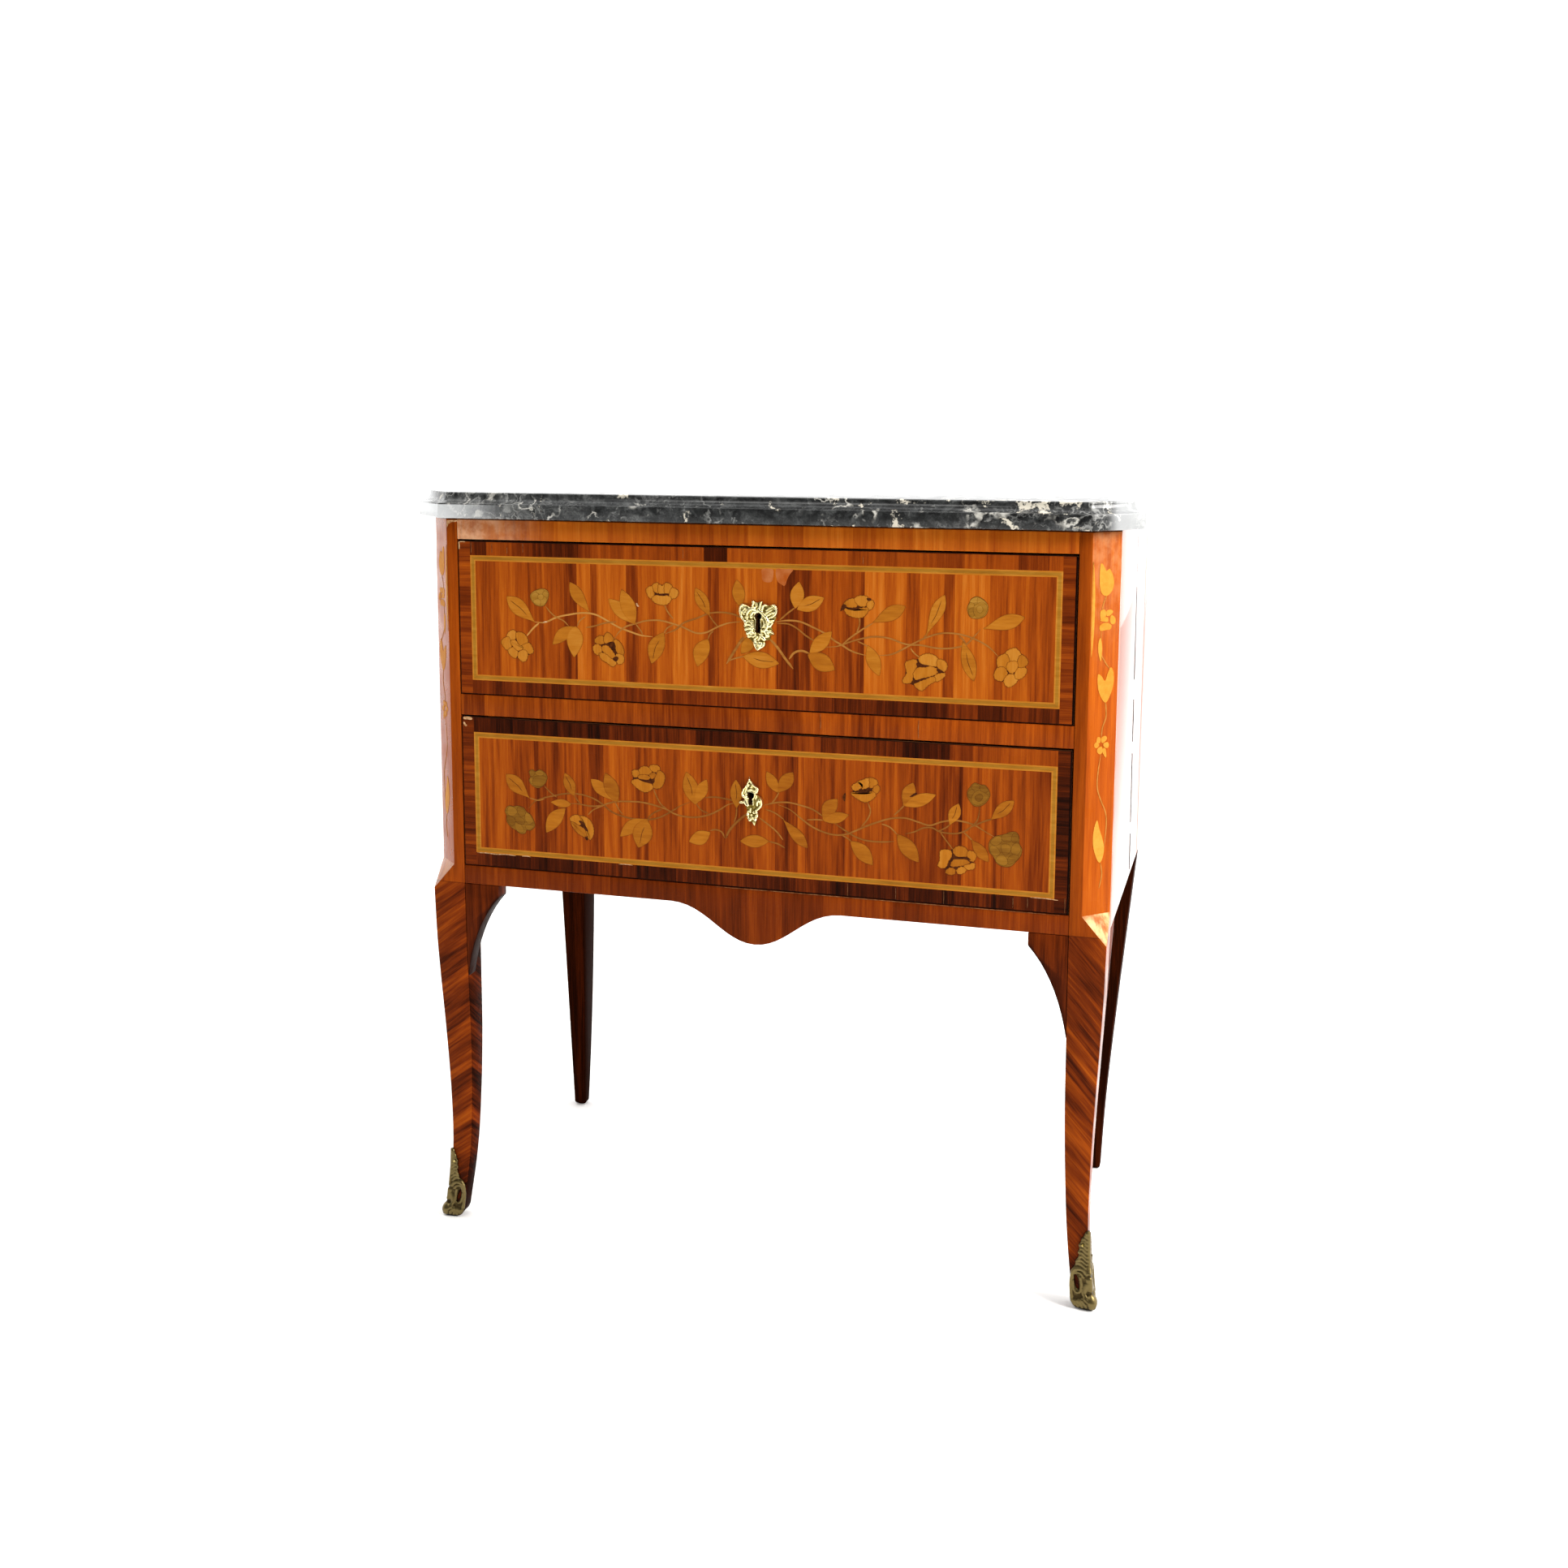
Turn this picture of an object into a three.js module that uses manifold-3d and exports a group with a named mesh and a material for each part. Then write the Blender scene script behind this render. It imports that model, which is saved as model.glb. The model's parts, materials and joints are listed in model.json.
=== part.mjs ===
// A small two-drawer commode chest with a marble top, cabriole front legs and tapered back legs.
// Millimetres, +Z up, front towards -Y. The origin is on the floor under the middle of the marble top.

import * as THREE from 'three';
import { mergeVertices } from 'three/addons/utils/BufferGeometryUtils.js';
import Module from 'manifold-3d';

const wasm = await Module();
wasm.setup();

// Carcass
const carcassWidth = 757;
const carcassDepth = 398;
const legHeight = 406.5;
const apronHeight = 21.4;
const openingHeight = 173.3;
const dividerHeight = 23.5;
const topRailHeight = 23.5;
const postStock = 38.6;
const cornerCant = 26;
const sidePanelThickness = 18;
const frontRailDepth = 60;
const rearRailThickness = 18;
const backPanelThickness = 8;

// Marble slab
const marbleThickness = 28.2;
const marbleFasciaHeight = 16.5;
const marbleFrontOverhang = 15;
const marbleSideOverhang = 22.5;
const marbleRearOverhang = 4;
const marbleCant = 46;
const marbleLedge = 1.5;
const marbleHollow = 10;
const marbleLip = 2;
const marbleArris = 1;
const marbleHollowSteps = 6;

// Clearances
const seatGap = 0.3;
const slideGap = 1.3;
const frontTopGap = 2;
const frontBottomGap = 0.8;
const cutOverrun = 2;
const mergeReach = 0.0001;

// Front legs: shares of the leg height, then of the post stock for the outer and inner faces' setback
const cabrioleShares = [
  [0, 0.1, 0.385],
  [0.06, 0.18, 0.31],
  [0.148, 0.255, 0.2],
  [0.234, 0.284, 0.122],
  [0.32, 0.28, 0.074],
  [0.443, 0.243, 0.026],
  [0.579, 0.178, 0],
  [0.714, 0.1, 0],
  [0.837, 0.04, 0],
  [1, 0, 0],
];
const legSteps = 24;
const footRound = 4;
const footHeelRise = 9;
const footHeelInset = 8;
const footRoundSteps = 3;
const cantStopFall = 30;

// Rear legs: both taper to a small foot, and the right one stands further in and bows a little
const rearFootWidth = 15.5;
const rearFootDepth = 14;
const rearFootDepthPower = 2.5;
const rearFootFrontInset = 1.3;
const rearFootSetback = { left: 19.5, right: 31.2 };
const rearLegBow = { left: 0, right: 3.4 };
const rearLegBowShare = 0.3;

// Knee blocks: the lower edge is one curve from the tip to the leg
const kneeBlockWidth = 41.5;
const kneeBlockHeight = 111;
const kneeBlockTipHeight = 14;
const kneeBlockThickness = 22;
const kneeCurveWidthShare = 0.25;
const kneeCurveHeightShare = 0.43;
const kneeCurveSteps = 9;

// Apron lobe
const apronThickness = 22;
const lobeHalfWidth = 96;
const lobeDrop = 41;
const lobeOffset = 4;
const lobeShoulderShare = 0.573;
const lobeFootShare = 0.375;
const lobeSteps = 12;

// Inside the carcass
const runnerWidth = 21.6;
const guideRise = 20;
const dustBoardThickness = 7;
const bottomBoardThickness = 7;
const bottomBoardRise = 5;
const braceWidth = 60;
const braceHeight = 12;

// Drawers
const drawerCount = 2;
const frontThickness = 22;
const drawerSideThickness = 10;
const drawerSideDrop = 5;
const drawerBackThickness = 10;
const drawerBackDrop = 4;
const drawerBottomThickness = 7;
const drawerBottomRise = 8;
const drawerGrooveDepth = 4;
const dovetailCount = 4;
const dovetailLength = 15;
const dovetailRootShare = 0.48;
const dovetailFlareShare = 0.27;
const dovetailEdge = 9;

// Locks: a case let into the back of the drawer front, with its bolt free to rise by its throw
const lockWidth = 60;
const lockHeight = 92;
const lockDepth = 10;
const lockPlate = 2;
const lockCapThickness = 1.2;
const lockTopSetback = 0.5;
const boltWidth = 14;
const boltThickness = 4;
const boltLength = 70;
const boltProng = 2;
const boltThrow = 8;
const boltGap = 0.4;
const mortiseDepth = 10;
const mortiseGap = 2;
const keyPinRadius = 1.2;
const lockScrewInset = 5;
const lockScrewRadius = 1.5;
const lockScrewHeadRadius = 3;
const lockScrewHeadHeight = 1.2;
const lockScrewLength = 7;
const lockScrewWall = 1;

// Escutcheons: outline points are shares of the plate's width and height, from the keyhole's round
const plateThickness = 2.2;
const collarRise = 1.4;
const collarWallShare = 0.09;
const pinRadius = 0.8;
const pinHeadRadius = 1.5;
const pinHeadHeight = 0.8;
const pinLength = 6;
const pinSides = 8;
const roundSides = 20;

const upperPlate = {
  width: 42.5,
  height: 55,
  offset: 8,
  drop: 71.7,
  keyRadius: 3.3,
  keySlotWidth: 5.2,
  keySlotDrop: 17.5,
  outlineShares: [
    [-0.163, 0.312], [-0.09, 0.288], [-0.025, 0.265], [0.04, 0.288], [0.112, 0.288], [0.1, 0.21],
    [0.176, 0.249], [0.28, 0.225], [0.41, 0.249], [0.483, 0.194], [0.5, 0.1], [0.462, 0],
    [0.398, -0.121], [0.345, -0.224], [0.42, -0.334], [0.314, -0.357], [0.303, -0.436],
    [0.176, -0.476], [0.197, -0.546], [0.102, -0.617], [-0.015, -0.665], [-0.1, -0.6],
    [-0.131, -0.515], [-0.205, -0.452], [-0.29, -0.397], [-0.333, -0.302], [-0.386, -0.2],
    [-0.364, -0.129], [-0.46, -0.027], [-0.498, 0.1], [-0.47, 0.194], [-0.407, 0.241],
    [-0.29, 0.217], [-0.174, 0.178], [-0.163, 0.241],
  ],
  pinShares: { left: [-0.4, 0.13], right: [0.4, 0.13] },
};

const lowerPlate = {
  width: 27,
  height: 53,
  offset: 0,
  drop: 68,
  keyRadius: 3.6,
  keySlotWidth: 4.2,
  keySlotDrop: 10,
  outlineShares: [
    [-0.053, 0.374], [0.013, 0.3], [0.18, 0.218], [0.33, 0.161], [0.33, 0.087], [0.263, 0.03],
    [0.413, -0.02], [0.513, -0.102], [0.48, -0.216], [0.363, -0.29], [0.28, -0.331],
    [0.347, -0.397], [0.297, -0.454], [0.247, -0.52], [0.163, -0.626], [0.08, -0.561],
    [-0.053, -0.528], [-0.137, -0.47], [-0.17, -0.405], [-0.137, -0.331], [-0.187, -0.257],
    [-0.27, -0.175], [-0.37, -0.192], [-0.487, -0.143], [-0.387, -0.11], [-0.253, -0.102],
    [-0.32, -0.052], [-0.37, 0.013], [-0.337, 0.087], [-0.237, 0.177], [-0.137, 0.259],
  ],
  pinShares: { top: [0.01, 0.2], bottom: [0.1, -0.46] },
};

// Sabots, each cast for its own leg. The rows hold a share of the sabot height, of the leg's width for the
// reach of the arms, and of the metal at the toe and at the arm ends. The leaf is all above the leaf's rise.
const sabotHeight = { left: 81, right: 85 };
const sabotLeafWidthShare = { left: 0.72, right: 1 };
const sabotLeafRiseShare = 0.54;
const sabotMetal = 2;
const sabotShares = [
  [0, 0.5, 0.3, 0.3],
  [0.02, 0.72, 2, 1],
  [0.05, 0.9, 3, 1.7],
  [0.1, 1, 3.2, 2],
  [0.155, 1, 2.6, 1.9],
  [0.2, 1, 2, 1.7],
  [0.27, 0.99, 1.4, 1.3],
  [0.36, 0.98, 1.2, 1.25],
  [0.47, 0.9, 1.2, 1.25],
  [0.545, 0.67, 1.5, 1.3],
  [0.58, 0.61, 1.5, 1.3],
  [0.66, 0.45, 1.4, 1.25],
  [0.745, 0.46, 1.5, 1.3],
  [0.825, 0.41, 1.6, 1.35],
  [0.885, 0.27, 1.6, 1.35],
  [0.94, 0.16, 1.6, 1.4],
  [1, 0.08, 1.1, 0.9],
];
const sabotWindowHeight = 15;
const sabotWindowWidth = 4;
const sabotWindowRiseShare = { left: 0.31, right: 0.345 };
const sabotWindowReachShare = { left: 0.42, right: 0.48 };
const sabotWindowSides = 14;
const sabotPinRiseShare = { front: 0.825, side: 0.66 };
const sabotPinReachShare = 0.55;
const sabotPinLength = 6;

// Places worked out from the sizes above
const apronTop = legHeight + apronHeight;
const openingPitch = openingHeight + dividerHeight;
const carcassTop = apronTop + drawerCount * openingPitch - dividerHeight + topRailHeight;
const marbleWidth = carcassWidth + 2 * marbleSideOverhang;
const marbleDepth = marbleFrontOverhang + carcassDepth + marbleRearOverhang;
const frontY = marbleFrontOverhang - marbleDepth / 2;
const rearY = frontY + carcassDepth;
const halfWidth = carcassWidth / 2;
const postInnerX = halfWidth - postStock;
const frontPostBackY = frontY + postStock;
const rearPostFrontY = rearY - postStock;
const railHalfLength = postInnerX - seatGap;
const backPanelFrontY = rearY - backPanelThickness;
const rearRailBackY = backPanelFrontY - seatGap;
const rearRailFrontY = rearRailBackY - rearRailThickness;
const insideBackY = rearRailFrontY - seatGap;
const runnerInnerX = railHalfLength - runnerWidth;
const drawerHalfWidth = postInnerX - slideGap;
const drawerSideInnerX = drawerHalfWidth - drawerSideThickness;
const drawerFrontHeight = openingHeight - frontTopGap - frontBottomGap;
const drawerBackY = backPanelFrontY - seatGap;
const drawerInsideY = frontY + frontThickness + seatGap;
const drawerBottomZ = seatGap + drawerBottomRise;
const drawerBottomTopZ = drawerBottomZ + drawerBottomThickness;
const drawerFrontTopZ = frontBottomGap + drawerFrontHeight;
const drawerSideTopZ = drawerFrontTopZ - drawerSideDrop;
const lockBackY = frontY + frontThickness;
const lockFrontY = lockBackY - lockDepth;
const lockCapBackY = lockFrontY + lockCapThickness;
const boltBackY = lockBackY - lockPlate - boltGap;
const boltFrontY = boltBackY - boltThickness;

// Materials
const finishes = {
  veneer: { color: 0x8c4a1e, roughness: 0.35, metalness: 0 },
  darkOak: { color: 0x4a2f1d, roughness: 0.6, metalness: 0 },
  oak: { color: 0x9b7449, roughness: 0.65, metalness: 0 },
  marble: { color: 0x3c3d40, roughness: 0.2, metalness: 0 },
  brass: { color: 0xb39a55, roughness: 0.35, metalness: 1 },
  iron: { color: 0x55524e, roughness: 0.5, metalness: 1 },
};
const materials = {};
for (const [name, values] of Object.entries(finishes)) {
  materials[name] = new THREE.MeshStandardMaterial(values);
}

const chest = new THREE.Group();

function addMesh(parent, name, geometry, material) {
  const mesh = new THREE.Mesh(geometry, materials[material]);
  mesh.name = name;
  parent.add(mesh);
  return mesh;
}

function toSolid(geometry) {
  const bare = geometry.clone();
  bare.deleteAttribute('normal');
  bare.deleteAttribute('uv');
  const merged = mergeVertices(bare, mergeReach);
  const triVerts = Uint32Array.from(merged.index.array);
  const vertProperties = Float32Array.from(merged.attributes.position.array);
  return new wasm.Manifold(new wasm.Mesh({ numProp: 3, vertProperties, triVerts }));
}

function toGeometry(solid) {
  const mesh = solid.getMesh();
  const geometry = new THREE.BufferGeometry();
  geometry.setAttribute('position', new THREE.BufferAttribute(Float32Array.from(mesh.vertProperties), 3));
  geometry.setIndex(new THREE.BufferAttribute(Uint32Array.from(mesh.triVerts), 1));
  return geometry;
}

// A box given by its low and high corner
function block([x0, y0, z0], [x1, y1, z1]) {
  const geometry = new THREE.BoxGeometry(x1 - x0, y1 - y0, z1 - z0);
  return geometry.translate((x0 + x1) / 2, (y0 + y1) / 2, (z0 + z1) / 2);
}

// The outline lies in the X-Z plane and the prism runs back from frontFace to backFace along Y
function prismAlongY(outline, frontFace, backFace) {
  const shape = new THREE.Shape(outline.map(([x, z]) => new THREE.Vector2(x, z)));
  const geometry = new THREE.ExtrudeGeometry(shape, { depth: backFace - frontFace, bevelEnabled: false });
  return geometry.rotateX(Math.PI / 2).translate(0, backFace, 0);
}

// The outline lies in the Y-Z plane and the prism runs from lowX to highX
function prismAlongX(outline, lowX, highX) {
  const shape = new THREE.Shape(outline.map(([y, z]) => new THREE.Vector2(y, z)));
  const geometry = new THREE.ExtrudeGeometry(shape, { depth: highX - lowX, bevelEnabled: false });
  return geometry.rotateX(Math.PI / 2).rotateZ(Math.PI / 2).translate(lowX, 0, 0);
}

// A closed body through rings of equal length, listed from the bottom up and running anticlockwise from above
function loft(rings) {
  const count = rings[0].length;
  const positions = [];
  for (const ring of rings) {
    for (const point of ring) {
      positions.push(...point);
    }
  }
  const index = [];
  for (let level = 0; level + 1 < rings.length; level += 1) {
    for (let i = 0; i < count; i += 1) {
      const a = level * count + i;
      const b = level * count + ((i + 1) % count);
      index.push(a, b, b + count, a, b + count, a + count);
    }
  }
  const flat = (ring) => ring.map(([x, y]) => new THREE.Vector2(x, y));
  const last = (rings.length - 1) * count;
  for (const [a, b, c] of THREE.ShapeUtils.triangulateShape(flat(rings[0]), [])) {
    index.push(c, b, a);
  }
  for (const [a, b, c] of THREE.ShapeUtils.triangulateShape(flat(rings[rings.length - 1]), [])) {
    index.push(last + a, last + b, last + c);
  }
  const geometry = new THREE.BufferGeometry();
  geometry.setAttribute('position', new THREE.Float32BufferAttribute(positions, 3));
  geometry.setIndex(index);
  return geometry;
}

// The mirror image across the plane X = 0, with its faces turned to point out again
function mirrored(geometry) {
  const copy = geometry.clone();
  copy.scale(-1, 1, 1);
  if (!copy.index) {
    copy.setIndex(Array.from({ length: copy.attributes.position.count }, (_, i) => i));
  }
  const order = copy.index.array;
  for (let i = 0; i < order.length; i += 3) {
    [order[i], order[i + 2]] = [order[i + 2], order[i]];
  }
  return copy;
}

// The right-hand piece is built and the left-hand one is its mirror image
// A piece drawn on the right-hand side of the chest, brought to the side that it is made for
function onItsSide(side, geometry) {
  return side === 'right' ? geometry : mirrored(geometry);
}

function addPair(parent, leftName, rightName, geometry, material) {
  addMesh(parent, rightName, geometry, material);
  addMesh(parent, leftName, mirrored(geometry), material);
}

function subtractAll(geometry, cutters) {
  let solid = toSolid(geometry);
  for (const cutter of cutters) {
    solid = solid.subtract(toSolid(cutter));
  }
  return toGeometry(solid);
}

function uniteAll(pieces) {
  let solid = toSolid(pieces[0]);
  for (const piece of pieces.slice(1)) {
    solid = solid.add(toSolid(piece));
  }
  return toGeometry(solid);
}

// A round bar along Y from frontFace to backFace
function rodAlongY(radius, x, z, frontFace, backFace, sides) {
  const geometry = new THREE.CylinderGeometry(radius, radius, backFace - frontFace, sides);
  return geometry.translate(x, (frontFace + backFace) / 2, z);
}

// A smooth curve through a table's rows: returns column values at any share of the first column
function tableCurve(rows, column) {
  return (share) => {
    let row = 0;
    while (row + 2 < rows.length && rows[row + 1][0] < share) {
      row += 1;
    }
    const slope = (i) => {
      const low = rows[Math.max(i - 1, 0)];
      const high = rows[Math.min(i + 1, rows.length - 1)];
      return (high[column] - low[column]) / (high[0] - low[0]);
    };
    const [start, end] = [rows[row], rows[row + 1]];
    const span = end[0] - start[0];
    const t = (share - start[0]) / span;
    const blend = t * t * (3 - 2 * t);
    const rise = slope(row) * span * t * (1 - t) * (1 - t);
    const fall = slope(row + 1) * span * t * t * (t - 1);
    return start[column] + (end[column] - start[column]) * blend + rise + fall;
  };
}

const outerSetbackShare = tableCurve(cabrioleShares, 1);
const innerSetbackShare = tableCurve(cabrioleShares, 2);
const sabotReachShare = tableCurve(sabotShares, 1);
const sabotToeShare = tableCurve(sabotShares, 2);
const sabotEndShare = tableCurve(sabotShares, 3);
const outerSetback = (z) => postStock * outerSetbackShare(Math.min(z / legHeight, 1));
const innerSetback = (z) => postStock * Math.max(innerSetbackShare(Math.min(z / legHeight, 1)), 0);
const legWidth = (z) => postStock - outerSetback(z) - innerSetback(z);

function buildMarble() {
  const ring = (inset, z) => {
    const x = marbleWidth / 2 - inset;
    const front = -marbleDepth / 2 + inset;
    const back = marbleDepth / 2;
    const cant = marbleCant - inset * (2 - Math.SQRT2);
    return [
      [-x + cant, front, z], [x - cant, front, z], [x, front + cant, z],
      [x, back, z], [-x, back, z], [-x, front + cant, z],
    ];
  };
  const bottom = carcassTop + seatGap;
  const ledgeZ = bottom + marbleFasciaHeight;
  const topZ = bottom + marbleThickness;
  const hollowRise = marbleThickness - marbleFasciaHeight - marbleLip;
  const rings = [ring(marbleArris, bottom), ring(0, bottom + marbleArris), ring(0, ledgeZ)];
  for (let step = 0; step <= marbleHollowSteps; step += 1) {
    const angle = (Math.PI / 2) * (step / marbleHollowSteps);
    const inset = marbleLedge + marbleHollow * Math.sin(angle);
    rings.push(ring(inset, ledgeZ + hollowRise * (1 - Math.cos(angle))));
  }
  rings.push(ring(marbleLedge + marbleHollow, topZ - marbleArris));
  rings.push(ring(marbleLedge + marbleHollow + marbleArris, topZ));
  addMesh(chest, 'marble_top', loft(rings), 'marble');
}

// Prism that cuts the post's outer corner to a cant, with a sloping three-cornered stop at its foot
function cantCutter() {
  const reach = cornerCant + cutOverrun;
  const stopTop = apronTop;
  const stopFall = cantStopFall * ((reach + cutOverrun) / cornerCant);
  const top = carcassTop + cutOverrun;
  const a = [halfWidth - reach, frontY - cutOverrun];
  const b = [halfWidth + cutOverrun, frontY + reach];
  const c = [halfWidth + cutOverrun, frontY - cutOverrun];
  return loft([
    [[...a, stopTop], [...c, stopTop - stopFall], [...b, stopTop]],
    [[...a, top], [...c, top], [...b, top]],
  ]);
}

// A ring of the front leg at one height, drawn in by the insets on its outer and inner sides
function frontLegRing(z, outerInset, innerInset) {
  const outer = outerSetback(z) + outerInset;
  const inner = innerSetback(z) + innerInset;
  const [x0, x1] = [postInnerX + inner, halfWidth - outer];
  const [y0, y1] = [frontY + outer, frontPostBackY - inner];
  return [[x0, y0, z], [x1, y0, z], [x1, y1, z], [x0, y1, z]];
}

// How far a rounded edge is drawn in at one height: a quarter ellipse of the rise and the inset
function roundedInset(z, rise, inset) {
  const share = Math.min(z / rise, 1);
  return inset * (1 - Math.sqrt(share * (2 - share)));
}

// The heights of the rings that round off the edges under a foot, dense near the floor
function footRoundHeights(rise) {
  const turn = Math.PI / 2 / footRoundSteps;
  return Array.from({ length: footRoundSteps }, (_, step) => rise * (1 - Math.cos(turn * step)));
}

function buildFrontPosts() {
  const heights = footRoundHeights(footHeelRise);
  for (let step = 0; step <= legSteps; step += 1) {
    heights.push(footHeelRise + ((legHeight - footHeelRise) * step) / legSteps);
  }
  const rings = heights.map((z) => {
    const toeInset = roundedInset(z, footRound, footRound);
    const heelInset = roundedInset(z, footHeelRise, footHeelInset);
    return frontLegRing(z, toeInset, heelInset);
  });
  rings.push(frontLegRing(legHeight, 0, 0).map(([x, y]) => [x, y, carcassTop]));
  const post = subtractAll(loft(rings), [cantCutter()]);
  for (const side of ['left', 'right']) {
    const drilled = subtractAll(post, [sabotPin(side, 'front', seatGap), sabotPin(side, 'side', seatGap)]);
    addMesh(chest, `front_${side}_post_leg`, onItsSide(side, drilled), 'veneer');
  }
}

// A rear post as it stands on the right-hand side, with the sizes of the side that it is made for
function rearPost(side) {
  const ring = (z) => {
    const share = Math.min(z / legHeight, 1);
    const bend = share < rearLegBowShare ? share / rearLegBowShare : (1 - share) / (1 - rearLegBowShare);
    const bow = rearLegBow[side] * Math.sin((bend * Math.PI) / 2);
    const inset = roundedInset(z, footRound, footRound);
    const outerX = halfWidth - rearFootSetback[side] * (1 - share) - bow;
    const width = rearFootWidth + (postStock - rearFootWidth) * share;
    const frontFace = rearPostFrontY + rearFootFrontInset * (1 - share);
    const depthLoss = (postStock - rearFootFrontInset - rearFootDepth) * (1 - share) ** rearFootDepthPower;
    const [x0, x1] = [outerX - width + inset, outerX - inset];
    const [y0, y1] = [frontFace + inset, rearY - depthLoss - inset];
    return [[x0, y0, z], [x1, y0, z], [x1, y1, z], [x0, y1, z]];
  };
  const heights = footRoundHeights(footRound);
  for (let step = 0; step <= legSteps; step += 1) {
    heights.push(footRound + ((legHeight - footRound) * step) / legSteps);
  }
  return loft([...heights, carcassTop].map(ring));
}

function buildRearPosts() {
  for (const side of ['left', 'right']) {
    addMesh(chest, `rear_${side}_post_leg`, onItsSide(side, rearPost(side)), 'darkOak');
  }
}

function buildSidePanels() {
  const panel = block(
    [halfWidth - sidePanelThickness, frontPostBackY + seatGap, legHeight],
    [halfWidth, rearPostFrontY - seatGap, carcassTop],
  );
  addPair(chest, 'left_side_panel', 'right_side_panel', panel, 'veneer');
}

function lobeOutline() {
  const points = [];
  const curve = new THREE.CubicBezierCurve(
    new THREE.Vector2(lobeHalfWidth, 0),
    new THREE.Vector2(lobeHalfWidth * lobeShoulderShare, 0),
    new THREE.Vector2(lobeHalfWidth * lobeFootShare, -lobeDrop),
    new THREE.Vector2(0, -lobeDrop),
  );
  const half = curve.getPoints(lobeSteps);
  for (const point of half) {
    points.push([lobeOffset + point.x, legHeight + point.y]);
  }
  for (const point of half.slice(0, -1).reverse()) {
    points.push([lobeOffset - point.x, legHeight + point.y]);
  }
  return points;
}

// Pocket in a rail's underside for the lock bolt that rises into it
function boltMortise(plate, railBottom) {
  const reach = boltWidth / 2 + mortiseGap;
  const low = boltFrontY - mortiseGap;
  const high = boltFrontY + boltThickness + mortiseGap;
  return block(
    [plate.offset - reach, low, railBottom - cutOverrun],
    [plate.offset + reach, high, railBottom + mortiseDepth],
  );
}

function buildFrontRails() {
  const rail = (bottom, top) => block(
    [-railHalfLength, frontY, bottom],
    [railHalfLength, frontY + frontRailDepth, top],
  );
  const dividerBottom = apronTop + openingHeight;
  const topRailBottom = carcassTop - topRailHeight;
  const divider = rail(dividerBottom, dividerBottom + dividerHeight);
  const top = rail(topRailBottom, carcassTop);
  const apron = prismAlongY(
    [
      [-railHalfLength, apronTop], [-railHalfLength, legHeight], ...lobeOutline().reverse(),
      [railHalfLength, legHeight], [railHalfLength, apronTop],
    ],
    frontY,
    frontY + apronThickness,
  );
  addMesh(chest, 'front_top_rail', subtractAll(top, [boltMortise(upperPlate, topRailBottom)]), 'veneer');
  addMesh(chest, 'divider_rail', subtractAll(divider, [boltMortise(lowerPlate, dividerBottom)]), 'veneer');
  addMesh(chest, 'apron_rail', apron, 'veneer');
}

// Outline of a knee block: distance from the post's face against height
function kneeOutline() {
  const top = legHeight - seatGap;
  const curve = new THREE.QuadraticBezierCurve(
    new THREE.Vector2(kneeBlockWidth, top - kneeBlockTipHeight),
    new THREE.Vector2(kneeBlockWidth * kneeCurveWidthShare, top - kneeBlockHeight * kneeCurveHeightShare),
    new THREE.Vector2(seatGap, top - kneeBlockHeight),
  );
  const points = curve.getPoints(kneeCurveSteps).map((point) => [point.x, point.y]);
  return [[seatGap, top], [kneeBlockWidth, top], ...points];
}

// The block's front face is the leg's own curve; the side block is the front one turned round the corner
function buildKneeBlocks() {
  const backFace = frontY + kneeBlockThickness;
  const rings = [];
  for (let step = 0; step <= legSteps; step += 1) {
    const z = footHeelRise + ((legHeight - footHeelRise) * step) / legSteps;
    const face = frontY + outerSetback(z);
    const [low, high] = [postInnerX - kneeBlockWidth - cutOverrun, postInnerX];
    rings.push([[low, face, z], [high, face, z], [high, backFace, z], [low, backFace, z]]);
  }
  const outline = kneeOutline().map(([reach, z]) => [postInnerX - reach, z]);
  const prism = prismAlongY(outline, frontY - cutOverrun, backFace + cutOverrun);
  const frontBlock = toGeometry(toSolid(loft(rings)).intersect(toSolid(prism)));
  addPair(chest, 'front_left_knee_block', 'front_right_knee_block', frontBlock, 'veneer');

  const corner = halfWidth + frontY;
  const sideBlock = mirrored(frontBlock).rotateZ(Math.PI / 2).translate(corner, corner, 0);
  addPair(chest, 'side_left_knee_block', 'side_right_knee_block', sideBlock, 'veneer');
}

function buildRearFrame() {
  const rail = (bottom, top) => block(
    [-railHalfLength, rearRailFrontY, bottom],
    [railHalfLength, rearRailBackY, top],
  );
  const middle = apronTop + openingHeight;
  addMesh(chest, 'rear_top_rail', rail(carcassTop - topRailHeight, carcassTop), 'oak');
  addMesh(chest, 'rear_middle_rail', rail(middle, middle + dividerHeight), 'oak');
  addMesh(chest, 'rear_bottom_rail', rail(legHeight, apronTop), 'oak');
  const panel = block([-railHalfLength, backPanelFrontY, legHeight], [railHalfLength, rearY, carcassTop]);
  addMesh(chest, 'back_panel', panel, 'oak');
}

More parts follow.
